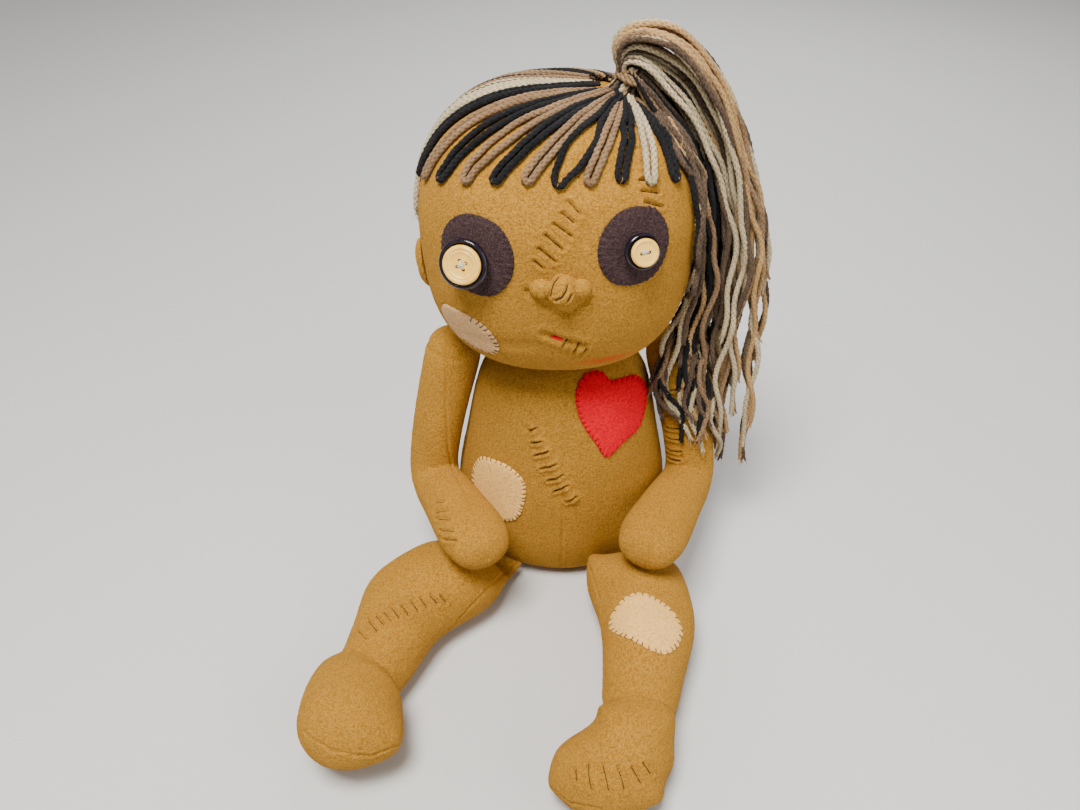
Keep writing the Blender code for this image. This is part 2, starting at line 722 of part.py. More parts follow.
def make_foot(side, material, pivot):
    ankle, along = ankle_place(side), leg_heading(side)
    toes, _ = foot_axes(side)
    start = ankle + along * SEWN_GAP
    thick, wide = FOOT_THICKNESS / 2, FOOT_WIDTH / 2
    ankle_half = ANKLE_WIDTH / 2
    to_heel, to_instep, to_ball, to_tip = (FOOT_LENGTH * s for s in FOOT_REACH_SHARES)
    heel = start + along * to_heel
    heel.z = thick * HEEL_HEIGHT_SHARE
    ball = heel + toes * to_ball
    heel_shares, instep_shares, ball_shares = FOOT_SIZE_SHARES
    heel_wide = (ankle_half + wide) / 2
    knots = [
        (*start, ankle_half, ANKLE_HEIGHT * ANKLE_FLAT_SHARE),
        (*heel, heel_wide * heel_shares[0], thick * heel_shares[1]),
        (*(heel + toes * to_instep), wide * instep_shares[0], thick * instep_shares[1]),
        (*ball, wide * ball_shares[0], thick * ball_shares[1]),
    ]
    stations = rounded(knots, 3)
    path = [Vector(station[:3]) for station in stations]
    sizes = [station[3:] for station in stations]
    tip = ball + toes * to_tip
    for k in (1, 2, 3, 4):
        turn = math.pi / 2 * k / 5
        path.append(ball.lerp(tip, math.sin(turn)))
        sizes.append(tuple(size * math.cos(turn) for size in stations[-1][3:]))
    rings = []
    for i, (place, (half_width, half_thick)) in enumerate(zip(path, sizes)):
        share = min(i / FOOT_BEND_RINGS, 1)
        tangent = along.lerp(toes, share).normalized()
        across = Vector((0, 0, 1)).cross(tangent).normalized()
        up = tangent.cross(across).normalized()
        ring = oval(place, across, up, half_width, half_thick, LIMB_SIDES)
        rings.append([on_floor(point) for point in ring])
    vertices, faces = loft(rings, end_pole=tip)
    return add_object(side_name("foot", side), vertices, faces, material, pivot)


def oval_outline(width, height, count):
    return [
        Vector((width / 2 * math.sin(2 * math.pi * k / count),
                height / 2 * math.cos(2 * math.pi * k / count)))
        for k in range(count)
    ]


def blob_outline(width, height, shares):
    """A closed smooth outline through hand-chosen shares of half a width and height."""
    closed = list(shares) + [shares[0]]
    return [Vector((x * width / 2, y * height / 2)) for x, y in rounded(closed, 2)[:-1]]


HEART_OUTLINE_SHARES = (
    (0.0, 0.62), (0.34, 0.97), (0.74, 0.94), (0.99, 0.55), (0.86, 0.08),
    (0.46, -0.48), (0.0, -1.0), (-0.46, -0.48), (-0.86, 0.08), (-0.99, 0.55),
    (-0.74, 0.94), (-0.34, 0.97),
)
BELLY_OUTLINE_SHARES = (
    (-0.95, 0.95), (-0.30, 0.92), (0.35, 0.62), (0.90, 0.30), (0.97, -0.25),
    (0.72, -0.80), (0.10, -0.99), (-0.48, -0.55), (-0.80, 0.15),
)
CHEEK_OUTLINE_SHARES = (
    (-0.98, 0.85), (-0.10, 0.80), (0.35, 0.35), (0.90, -0.15), (0.97, -0.75),
    (0.45, -0.98), (-0.10, -0.70), (-0.60, -0.10),
)
KNEE_OUTLINE_SHARES = (
    (-0.95, -0.05), (-0.70, 0.62), (-0.20, 0.97), (0.42, 0.85), (0.85, 0.35),
    (0.97, -0.25), (0.60, -0.92), (0.05, -0.80), (-0.62, -0.62),
)
EYE_OUTLINE_SHARES = (
    (0.0, 1.0), (0.62, 0.84), (0.98, 0.28), (0.94, -0.36), (0.56, -0.88),
    (0.0, -1.0), (-0.62, -0.82), (-0.97, -0.24), (-0.92, 0.40), (-0.52, 0.86),
)


def patch_on(name, outline, surface, middle, right, up, material, parent):
    """A felt patch that follows a curved surface, a small gap above it."""
    inward = up.cross(right).normalized()
    start = middle - inward * HEAD_DEPTH
    rings = PATCH_RINGS
    under, over = [], []
    for r in range(1, rings + 1):
        for point in outline:
            spread = right * point.x * r / rings + up * point.y * r / rings
            place, normal, _, _ = surface.ray_cast(start + spread, inward)
            under.append(place + normal * PATCH_GAP)
            over.append(place + normal * (PATCH_GAP + FELT))
    place, normal, _, _ = surface.ray_cast(start, inward)
    count = len(outline)
    vertices = under + over
    faces = []
    for r in range(rings - 1):
        for k in range(count):
            n = (k + 1) % count
            a, b = r * count + k, r * count + n
            c, d = (r + 1) * count + n, (r + 1) * count + k
            faces.append((a, d, c, b))
            shift = len(under)
            faces.append((a + shift, b + shift, c + shift, d + shift))
    edge = (rings - 1) * count
    for k in range(count):
        n = (k + 1) % count
        faces.append((edge + k, edge + k + len(under), edge + n + len(under), edge + n))
    low = len(vertices)
    vertices += [place + normal * PATCH_GAP, place + normal * (PATCH_GAP + FELT)]
    for k in range(count):
        n = (k + 1) % count
        faces.append((k, n, low))
        faces.append((n + len(under), k + len(under), low + 1))
    return add_object(name, vertices, faces, material, parent)


def face_place(surface, side_share, lift_share):
    """A place on the front of the head, with the way out of the surface there."""
    start = head_middle() + Vector((side_share * HEAD_WIDTH / 2, -HEAD_DEPTH,
                                    lift_share * HEAD_HEIGHT / 2))
    place, normal, _, _ = surface.ray_cast(start, Vector((0, 1, 0)))
    return place, normal


def eye_shares(side):
    return LEFT_EYE_SHARES if side > 0 else RIGHT_EYE_SHARES


def eye_patch_size(side):
    if side > 0:
        return LEFT_EYE_PATCH_WIDTH, LEFT_EYE_PATCH_HEIGHT
    return RIGHT_EYE_PATCH_WIDTH, RIGHT_EYE_PATCH_HEIGHT


def make_eye_patch(side, surface, material, pivot):
    place, normal = face_place(surface, *eye_shares(side))
    up = (Vector((0, 0, 1)) - normal * normal.z).normalized()
    right = up.cross(normal)
    outline = blob_outline(*eye_patch_size(side), EYE_OUTLINE_SHARES)
    return patch_on(side_name("eye_patch", side), outline, surface, place, right, up,
                    material, pivot)


DISC_SHARES = (0.0, 0.5, 1.0)  # of its radius, where the height under a disc is read


def highest_under(surface, place, axis, radius):
    """How far the surface rises along an axis, anywhere under a disc of that radius."""
    across = axis.orthogonal().normalized()
    along = axis.cross(across)
    best = -HEAD_DEPTH
    for k in range(EAR_SIDES):
        turn = 2 * math.pi * k / EAR_SIDES
        for share in DISC_SHARES:
            spread = (across * math.cos(turn) + along * math.sin(turn)) * radius * share
            hit, _, _, _ = surface.ray_cast(place + axis * HEAD_DEPTH + spread, -axis)
            if hit is not None:
                best = max(best, (hit - place).dot(axis))
    return best


def button_profile(diameter, thickness):
    """Radius and height of a button's turned outline, from its back to its dished front."""
    radius, edge = diameter / 2, thickness * BUTTON_EDGE_SHARE
    low, middle, high, inset = BUTTON_BELLY_SHARES
    crest, shelf = BUTTON_CREST_SHARES
    return [
        (radius - edge, 0),
        (radius - edge * low, edge * low),
        (radius, thickness * middle),
        (radius - edge * inset, thickness * high),
        (radius - BUTTON_RIM * crest, thickness),
        (radius - BUTTON_RIM, thickness * shelf),
        (dish_radius(diameter), thickness - BUTTON_DISH),
    ]


def dish_radius(diameter):
    return diameter / 2 - BUTTON_RIM * BUTTON_SLOPE_SHARE


def stacked_height(black_size, cream_size):
    """Where a cream button lies: in the black one's dish if it fits, else on its rim."""
    if cream_size / 2 + BUTTON_GAP / 2 < dish_radius(black_size):
        return BLACK_BUTTON_THICKNESS - BUTTON_DISH + BUTTON_GAP
    return BLACK_BUTTON_THICKNESS + BUTTON_GAP


def make_button(name, diameter, thickness, holes, place, axis, material, pivot):
    """A turned disc with sewing holes bored through it."""
    up = (Vector((0, 0, 1)) - axis * axis.z).normalized()
    right = up.cross(axis)
    turn = Matrix((right, up, axis)).transposed()
    rings = []
    for radius, height in button_profile(diameter, thickness):
        ring = oval(Vector((0, 0, height)), Vector((1, 0, 0)), Vector((0, 1, 0)),
                    radius, radius, BUTTON_SIDES)
        rings.append(ring)
    vertices, faces = loft(rings)
    vertices = [place + turn @ vertex for vertex in vertices]
    button = add_object(name, vertices, faces, material, pivot)
    spread = BUTTON_HOLE_SPACING / 2
    if holes == 2:
        centres = [Vector((spread * x, 0, 0)) for x in (-1, 1)]
    else:
        centres = [Vector((spread * x, spread * y, 0)) for x in (-1, 1) for y in (-1, 1)]
    for k, centre in enumerate(centres):
        bore = []
        for height in (-thickness, thickness * 2):
            bore.append(oval(centre + Vector((0, 0, height)), Vector((1, 0, 0)),
                             Vector((0, 1, 0)), BUTTON_HOLE / 2, BUTTON_HOLE / 2, HOLE_SIDES))
        vertices, faces = loft(bore)
        vertices = [place + turn @ vertex for vertex in vertices]
        cutter = add_object(f"{name}_hole_{k + 1}", vertices, faces, material, pivot)
        cutter.hide_render = True
        cutter.display_type = "WIRE"
        cut = button.modifiers.new(f"hole_{k + 1}", "BOOLEAN")
        cut.operation = "DIFFERENCE"
        cut.solver = "EXACT"
        cut.object = cutter
    return button


def make_eye_buttons(side, patch, black, cream, pivot):
    """A cream button on a larger black one, both square to the face under them."""
    surface = surface_of(patch)
    offset = LEFT_BUTTON_SHARES if side > 0 else RIGHT_BUTTON_SHARES
    patch_width, patch_height = eye_patch_size(side)
    eye_side, eye_lift = eye_shares(side)
    centre, level = face_place(surface, eye_side + offset[0] * patch_width / HEAD_WIDTH,
                               eye_lift + offset[1] * patch_height / HEAD_HEIGHT)
    level = Vector((level.x * BUTTON_LOOK_SIDE_SHARE, level.y, 0)).normalized()
    axis = (level + Vector((0, 0, BUTTON_LOOK_UP))).normalized()
    black_size = LEFT_BLACK_BUTTON if side > 0 else RIGHT_BLACK_BUTTON
    cream_size = LEFT_CREAM_BUTTON if side > 0 else RIGHT_CREAM_BUTTON
    holes = 2 if side > 0 else 4
    rise = highest_under(surface, centre, axis, black_size / 2)
    place = centre + axis * (rise + SEWN_GAP)
    make_button(side_name("black_button", side), black_size, BLACK_BUTTON_THICKNESS,
                holes, place, axis, black, pivot)
    place = place + axis * stacked_height(black_size, cream_size)
    make_button(side_name("cream_button", side), cream_size, CREAM_BUTTON_THICKNESS,
                holes, place, axis, cream, pivot)


def blob(name, surface, middle, out, right, up, half_sizes, material, parent):
    """A rounded form that bulges from a surface and follows it underneath."""
    wide, high, proud = half_sizes
    rings = []
    under = []
    for k in range(EAR_RINGS):
        turn = math.pi / 2 * k / EAR_RINGS
        ring = []
        for m in range(EAR_SIDES):
            angle = 2 * math.pi * m / EAR_SIDES
            spread = (right * (wide * math.sin(angle)) + up * (high * math.cos(angle)))
            spread *= math.cos(turn)
            start = middle + out * HEAD_DEPTH + spread
            place, normal, _, _ = surface.ray_cast(start, -out)
            ring.append(place + out * (LAID_GAP + SEWN_GAP + proud * math.sin(turn)))
            if k == 0:
                under.append(place + out * LAID_GAP)
        rings.append(ring)
    foot = lifted_along(middle, surface, out)
    inner = [lifted_along(point.lerp(foot, EAR_INSET_SHARE), surface, out)
             for point in under]
    rings = [inner, under] + rings
    vertices, faces = loft(rings, start_pole=foot, end_pole=foot + out * (SEWN_GAP + proud))
    return add_object(name, vertices, faces, material, parent)


def lifted_along(point, surface, out):
    place, _, _, _ = surface.ray_cast(point + out * HEAD_DEPTH, -out)
    return place + out * LAID_GAP


def nose_reach(turn):
    """How far the nose's edge lies from its middle: a ball with a bulge on each side."""
    bulge = math.exp(-(math.cos(turn) / (NOSTRIL_WIDTH / NOSTRIL_SPREAD / 2)) ** 2)
    return NOSE_WIDTH / 2 + (NOSTRIL_SPREAD + NOSTRIL_WIDTH / 2 - NOSE_WIDTH / 2) * bulge


def nose_height(x, y):
    """How proud of the face the nose is, as a ball that runs over into two nostrils."""
    total = 0.0
    for middle, half, proud in ((0, NOSE_WIDTH / 2, NOSE_PROUD),
                                (-NOSTRIL_SPREAD, NOSTRIL_WIDTH / 2, NOSTRIL_PROUD),
                                (NOSTRIL_SPREAD, NOSTRIL_WIDTH / 2, NOSTRIL_PROUD)):
        inside = max(1 - ((x - middle) ** 2 + y ** 2) / half ** 2, 0)
        total += (proud / NOSE_PROUD * math.sqrt(inside)) ** NOSE_BLEND_POWER
    return NOSE_PROUD * total ** (1 / NOSE_BLEND_POWER)


def make_nose(surface, material, pivot):
    place, _ = face_place(surface, *NOSE_SHARES)
    out, right, up = Vector((0, -1, 0)), Vector((1, 0, 0)), Vector((0, 0, 1))
    under, over = [], []
    for k in range(NOSE_RINGS):
        for m in range(NOSE_SIDES):
            turn = 2 * math.pi * m / NOSE_SIDES
            reach = nose_reach(turn) * math.cos(math.pi / 2 * k / NOSE_RINGS)
            x, y = reach * math.sin(turn), reach * math.cos(turn)
            foot = lifted_along(place + right * x + up * y, surface, out)
            height = nose_height(x, y) if k else 0
            over.append(foot + out * (SEWN_GAP + height))
            if k in (0, NOSE_RINGS // 2):
                under.append(foot)
    rings = [under[NOSE_SIDES:], under[:NOSE_SIDES]]
    rings += [over[k * NOSE_SIDES:(k + 1) * NOSE_SIDES] for k in range(NOSE_RINGS)]
    foot = lifted_along(place, surface, out)
    tip = foot + out * (SEWN_GAP + NOSE_PROUD)
    vertices, faces = loft(rings, start_pole=foot, end_pole=tip)
    return add_object("nose", vertices, faces, material, pivot)


def make_mouth(surface, material, pivot):
    place, normal = face_place(surface, *MOUTH_SHARES)
    up = (Vector((0, 0, 1)) - normal * normal.z).normalized()
    patch_on("mouth", oval_outline(MOUTH_WIDTH, MOUTH_HEIGHT, MOUTH_SIDES), surface, place,
             up.cross(normal), up, material, pivot)


def make_ear(side, surface, material, pivot):
    start = head_middle() + Vector((side * HEAD_WIDTH, -EAR_FORWARD_SHARE * HEAD_DEPTH / 2,
                                    -EAR_DROP_SHARE * HEAD_HEIGHT / 2))
    place, _, _, _ = surface.ray_cast(start, Vector((-side, 0, 0)))
    blob(side_name("ear", side), surface, place, Vector((side, 0, 0)),
         Vector((0, 1, 0)), Vector((0, 0, 1)),
         (EAR_WIDTH / 2, EAR_HEIGHT / 2, EAR_PROUD), material, pivot)


def hair_base_direction():
    """From the middle of the head to the place where all the yarn is gathered."""
    rise = HEAD_HEIGHT / 2 * head_rise_share(HAIR_BASE_SIDE * 2 / HEAD_WIDTH)
    return Vector((HAIR_BASE_SIDE, 0, rise)).normalized()


def head_rise_share(width_share):
    return (1 - width_share ** HEAD_SQUARENESS) ** (1 / HEAD_SQUARENESS)


def turned(angle, lift_share):
    """A direction from the head's middle: forward at angle 0, to the left side above it."""
    level = heading(angle)
    reach = abs(level.x) ** FACE_SQUARENESS + abs(level.y) ** FACE_SQUARENESS
    width = head_width_share(lift_share) / reach ** (1 / FACE_SQUARENESS)
    place = Vector((level.x * HEAD_WIDTH / 2 * width, level.y * HEAD_DEPTH / 2 * width,
                    lift_share * HEAD_HEIGHT / 2))
    return place.normalized()


def over_head(start, end, share):
    return start.slerp(end, share)


FRINGE_HEIGHT_SHARES = (
    (0.0, 0.32), (0.2, 0.52), (0.35, 0.64), (0.5, 0.69), (0.75, 0.69), (0.9, 0.62),
    (1.0, 0.50),
)


def fringe_height(share):
    """How high on the forehead the fringe ends, from one side of it to the other."""
    for low, high in zip(FRINGE_HEIGHT_SHARES, FRINGE_HEIGHT_SHARES[1:]):
        if low[0] <= share <= high[0]:
            mix = (share - low[0]) / (high[0] - low[0])
            return low[1] + mix * (high[1] - low[1])
    return FRINGE_HEIGHT_SHARES[-1][1]


FRINGE_COLOURS = (
    "cream", "black", "tan", "black", "tan", "black", "tan", "black", "tan", "black",
    "cream", "black", "tan",
)


def make_fringe_loop(number, materials, pivot):
    """A doubled strand of yarn from the knot to the forehead, flat on the head."""
    share = number / (len(FRINGE_COLOURS) - 1)
    angle = FRINGE_FIRST_ANGLE + share * (FRINGE_LAST_ANGLE - FRINGE_FIRST_ANGLE)
    start, end = hair_base_direction(), turned(angle, fringe_height(share))
    base = head_point(start)
    path, sizes, ups = [], [], []
    reach = (head_point(end) - base).length
    first = FRINGE_START / reach
    for k in range(FRINGE_RINGS + 1):
        way = first + (1 - first) * k / FRINGE_RINGS
        direction = over_head(start, end, way)
        place = head_point(direction, SEWN_GAP * 2 + YARN / 2)
        distance = (place - base).length
        spacing = distance * abs(FRINGE_LAST_ANGLE - FRINGE_FIRST_ANGLE) / len(FRINGE_COLOURS)
        half = min(FRINGE_WIDTH / 2, spacing * FRINGE_FILL_SHARE)
        if k == FRINGE_RINGS:
            half *= FRINGE_END_SHARE
        path.append(place)
        sizes.append((half, YARN / 2))
        ups.append(direction)
    rings = []
    for i, centre in enumerate(path):
        tangent = (path[min(i + 1, FRINGE_RINGS)] - path[max(i - 1, 0)]).normalized()
        across = tangent.cross(ups[i]).normalized()
        up = across.cross(tangent).normalized()
        rings.append(oval(centre, across, up, *sizes[i], FRINGE_SIDES))
    vertices, faces = loft(rings)
    material = materials[FRINGE_COLOURS[number] + "_yarn"]
    add_object(f"fringe_loop_{number + 1:02d}", vertices, faces, material, pivot)


def make_back_hair(material, pivot):
    """The yarn that covers the back of the head, as one ribbed layer."""
    base = hair_base_direction()
    columns, rows = CAP_COLUMNS, CAP_ROWS
    inner, outer = [], []
    for c in range(columns + 1):
        angle = CAP_FIRST_ANGLE + (CAP_LAST_ANGLE - CAP_FIRST_ANGLE) * c / columns
        end = turned(angle, NAPE_SHARE)
        for r in range(rows + 1):
            way = CAP_START_SHARE + (1 - CAP_START_SHARE) * r / rows
            direction = over_head(base, end, way)
            rib = CAP_RIB * (c % 2)
            inner.append(head_point(direction, CAP_GAP))
            outer.append(head_point(direction, CAP_GAP + CAP_THICKNESS - rib))
    count = len(inner)
    faces = []
    for c in range(columns):
        for r in range(rows):
            a = c * (rows + 1) + r
            b, d = a + 1, a + rows + 1
            e = d + 1
            faces.append((a, b, e, d))
            faces.append((a + count, d + count, e + count, b + count))
    edge = [c * (rows + 1) for c in range(columns + 1)]
    edge += [columns * (rows + 1) + r for r in range(1, rows + 1)]
    edge += [c * (rows + 1) + rows for c in range(columns - 1, -1, -1)]
    edge += [r for r in range(rows - 1, 0, -1)]
    for k in range(len(edge)):
        a, b = edge[k], edge[(k + 1) % len(edge)]
        faces.append((a, b, b + count, a + count))
    add_object("back_hair", inner + outer, faces, material, pivot)


def knot_frame():
    """The knot's foot on the head, and the way it stands."""
    direction = hair_base_direction()
    place = head_point(direction)
    tilted = head_point((direction + Vector((SLOPE_STEP_SHARE, 0, 0))).normalized())
    slope = (tilted - place).normalized()
    out = Vector((0, 1, 0)).cross(slope).normalized()
    return place, out if out.z > 0 else -out


def knot_half_width(height_share):
    for low, high in zip(KNOT_SHARES, KNOT_SHARES[1:]):
        if low[0] <= height_share <= high[0]:
            mix = (height_share - low[0]) / (high[0] - low[0])
            return KNOT_WIDTH / 2 * (low[1] + mix * (high[1] - low[1]))
    return 0.0


def make_knot(material, surface, pivot):
    """The yarn gathered on top of the head, waisted where the wrap goes round it."""
    place, out = knot_frame()
    right, up = Vector((0, 1, 0)), Vector((0, 1, 0)).cross(out)
    foot = oval(place, right, up, KNOT_WIDTH / 2, KNOT_WIDTH / 2, LOCK_SIDES * 2)
    rings = [[lifted_along(point.lerp(place, KNOT_INSET_SHARE), surface, out) for point in foot],
             [lifted_along(point, surface, out) for point in foot]]
    for height, _ in KNOT_SHARES[1:]:
        half = knot_half_width(height)
        rings.append(oval(place + out * (height * KNOT_HEIGHT), right, up, half, half,
                          LOCK_SIDES * 2))
    vertices, faces = loft(rings, start_pole=lifted_along(place, surface, out))
    add_object("hair_knot", vertices, faces, material, pivot)


def make_tie(material, pivot):
    """The strand wound round the knot's waist."""
    place, out = knot_frame()
    right, up = Vector((0, 1, 0)), Vector((0, 1, 0)).cross(out)
    cord = TIE_THICKNESS / 2
    ring = knot_half_width(TIE_HEIGHT_SHARE) + SEWN_GAP + cord
    centre = place + out * (TIE_HEIGHT_SHARE * KNOT_HEIGHT)
    sides, sections = TIE_SIDES, LOCK_SIDES
    vertices, faces = [], []
    for k in range(sides):
        turn = 2 * math.pi * k / sides
        outward = right * math.sin(turn) + up * math.cos(turn)
        for m in range(sections):
            angle = 2 * math.pi * m / sections
            vertices.append(centre + outward * (ring + cord * math.cos(angle))
                            + out * (cord * math.sin(angle)))
            n, p = (k + 1) % sides, (m + 1) % sections
            faces.append((k * sections + m, n * sections + m,
                          n * sections + p, k * sections + p))
    add_object("hair_tie", vertices, faces, material, pivot)


def ponytail_root_radius():
    """Half the bundle's thickness at its root, which is rounded about its pivot."""
    return (LOCK_WIDTH + LOCK_GAP / 2) * PONYTAIL_SPREAD_SHARES[0][1] - LOCK_GAP / 4


def ponytail_pivot():
    place, out = knot_frame()
    return place + out * (KNOT_HEIGHT + SEWN_GAP + ponytail_root_radius())


def ponytail_centre_line():
    """From the root over a crest, down beside the head and clear of the arm."""
    root = ponytail_pivot()
    bundle = PONYTAIL_SIDE_GAP + LOCK_WIDTH + LOCK_GAP
    beside = head_middle().x + HEAD_WIDTH / 2 + EAR_PROUD + bundle
    elbow_half, _ = torso_half_sizes(ELBOW_HEIGHT)
    past_arm = elbow_half + ARM_WIDTH * (1 + ELBOW_SIZE_SHARES[1]) / 2 + PONYTAIL_ARM_GAP
    crest = Vector((root.x + PONYTAIL_CREST_SIDE, root.y, root.z + PONYTAIL_RISE))
    level = head_middle().z
    knots = []
    for degrees in (0, 30, 60):
        turn = math.radians(degrees)
        knots.append((crest.x - PONYTAIL_CREST_SIDE * math.cos(turn), root.y,
                      root.z + PONYTAIL_RISE * math.sin(turn)))
    for degrees in (0, 15, 30, 45, 60, 75):
        turn = math.radians(degrees)
        side, rise = (wave ** (2 / PONYTAIL_ROUNDNESS)
                      for wave in (math.sin(turn), math.cos(turn)))
        knots.append((crest.x + (beside - crest.x) * side, root.y,
                      level + (crest.z - level) * rise))
    above_arm = shoulder_height() + ARM_WIDTH
    knots += [
        (beside, root.y, level),
        (beside, root.y, (level + above_arm) / 2),
        (beside, root.y, above_arm),
        (past_arm, root.y, (shoulder_height() + ELBOW_HEIGHT) / 2),
        (past_arm, root.y, ELBOW_HEIGHT),
        (past_arm, root.y, ELBOW_HEIGHT - ARM_WIDTH),
    ]
    return [Vector(point) for point in rounded(knots, 4)]


def spread_at(share):
    for low, high in zip(PONYTAIL_SPREAD_SHARES, PONYTAIL_SPREAD_SHARES[1:]):
        if low[0] <= share <= high[0]:
            mix = (share - low[0]) / (high[0] - low[0])
            return low[1] + mix * (high[1] - low[1])
    return PONYTAIL_SPREAD_SHARES[-1][1]


def along_line(line, length):
    """The place at a length along a line of points, or past either of its ends."""
    for low, high in zip(line, line[1:]):
        step = (high - low).length
        if length <= step:
            return low + (high - low) * (length / step)
        length -= step
    return line[-1] + (line[-1] - line[-2]).normalized() * length


def lock_reaches(length):
    """Where along the ponytail a lock has its rings: close together over the crest.

    All the locks share these places, so that neighbours bend alike.
    """
    reaches = [0.0]
    while reaches[-1] < length:
        bent = reaches[-1] < PONYTAIL_LENGTH * PONYTAIL_BENT_SHARE
        close, wide = LOCK_STEP_SHARES
        reaches.append(reaches[-1] + LOCK_WIDTH * (close if bent else wide))
    reaches[-1] = length
    if length - reaches[-2] < LOCK_WIDTH * LOCK_LAST_STEP_SHARE:
        reaches.pop(-2)
    return reaches


def lock_root_rings(row, column):
    """Rings that round a lock off below the pivot, so that it can turn over the knot."""
    radius, size = ponytail_root_radius(), PONYTAIL_SPREAD_SHARES[0][1]
    near = LOCK_GAP / 2 * size + LOCK_GAP / 4
    fore = Vector((0, 1, 0))
    half_depth = LOCK_DEPTH / 2 * size - LOCK_GAP / 4
    rings = []
    for share in PONYTAIL_ROOT_SHARES:
        far = radius * math.sqrt(1 - share ** 2)
        place = ponytail_pivot() - Vector((0, 0, radius * share))
        place -= Vector((column * (far + near) / 2, 0, 0))
        place += fore * (row * (LOCK_DEPTH + LOCK_GAP) * size)
        rings.append(oval(place, fore, Vector((-1, 0, 0)), half_depth, (far - near) / 2,
                          LOCK_SIDES))
    return rings


def make_lock(row, column, material, pivot):
    """One lock of the ponytail, which keeps its place in the bundle all the way."""
    line = ponytail_centre_line()
    rows = {"front": -1, "middle": 0, "back": 1}
    columns = {"inner": -1, "outer": 1}
    length = PONYTAIL_LENGTH * LOCK_LENGTH_SHARES[row][column]
    rings = lock_root_rings(rows[row], columns[column])
    reaches = lock_reaches(length)
    for reach in reaches:
        place = along_line(line, reach)
        tangent = (along_line(line, reach + LOCK_GAP) - place).normalized()
        size = spread_at(reach / PONYTAIL_LENGTH)
        across = Vector((0, -1, 0)).cross(tangent).normalized()
        fore = Vector((0, 1, 0))
        offset = across * (columns[column] * (LOCK_WIDTH + LOCK_GAP) / 2 * size)
        offset += fore * (rows[row] * (LOCK_DEPTH + LOCK_GAP) * size)
        narrow = LOCK_END_SHARE if reach == reaches[-1] else 1.0
        half_width = LOCK_WIDTH / 2 * size * narrow - LOCK_GAP / 4
        half_depth = LOCK_DEPTH / 2 * size * narrow - LOCK_GAP / 4
        rings.append(oval(place + offset, fore, across, half_depth, half_width, LOCK_SIDES))
    vertices, faces = loft(rings)
    add_object(f"ponytail_{row}_{column}", vertices, faces, material, pivot)


def make_patches(torso, head, leg, materials, head_pivot, leg_pivot):
    """The heart and the three odd patches, each on the piece that it mends."""
    right, up = Vector((1, 0, 0)), Vector((0, 0, 1))
    torso_surface = surface_of(torso)
    heart = Vector((HEART_SIDE_SHARE * TORSO_WIDTH / 2, 0, HEART_LIFT_SHARE * TORSO_HEIGHT))
    patch_on("heart_patch", blob_outline(HEART_WIDTH, HEART_HEIGHT, HEART_OUTLINE_SHARES),
             torso_surface, heart, right, up, materials["red"], None)
    belly = Vector((BELLY_PATCH_SIDE_SHARE * TORSO_WIDTH / 2, 0,
                    BELLY_PATCH_LIFT_SHARE * TORSO_HEIGHT))
    outline = blob_outline(BELLY_PATCH_WIDTH, BELLY_PATCH_HEIGHT, BELLY_OUTLINE_SHARES)
    patch_on("belly_patch", outline, torso_surface, belly, right, up,
             materials["tan"], None)
    place, normal = face_place(surface_of(head), *CHEEK_PATCH_SHARES)
    face_up = (up - normal * normal.z).normalized()
    outline = blob_outline(CHEEK_PATCH_WIDTH, CHEEK_PATCH_HEIGHT, CHEEK_OUTLINE_SHARES)
    patch_on("cheek_patch", outline, surface_of(head), place, face_up.cross(normal),
             face_up, materials["tan"], head_pivot)
    knee = hip_place(1) + leg_heading(1) * (leg_length(1) * KNEE_PATCH_REACH_SHARE)
    knee += Vector((KNEE_PATCH_SIDE, 0, LEG_THICKNESS))
    outline = blob_outline(KNEE_PATCH_WIDTH, KNEE_PATCH_HEIGHT, KNEE_OUTLINE_SHARES)
    patch_on("knee_patch", outline, surface_of(leg), knee, right, Vector((0, 1, 0)),
             materials["tan"], leg_pivot)


def make_materials():
    return {
        "mustard": felt("mustard_felt", (0.42, 0.23, 0.05)),
        "purple": felt("purple_brown_felt", (0.045, 0.026, 0.028)),
        "tan": felt("tan_felt", (0.68, 0.42, 0.20)),
        "red": felt("red_felt", (0.72, 0.015, 0.03)),
        "black_plastic": principled("black_plastic", (0.012, 0.010, 0.014), 0.15),
        "cream_plastic": principled("cream_plastic", (0.82, 0.62, 0.30), 0.25),
        "black_yarn": felt("black_yarn", (0.025, 0.022, 0.024)),
        "cream_yarn": felt("cream_yarn", (0.55, 0.48, 0.36)),
        "brown_yarn": felt("brown_yarn", (0.09, 0.055, 0.038)),
        "tan_yarn": felt("tan_yarn", (0.40, 0.24, 0.12)),
    }


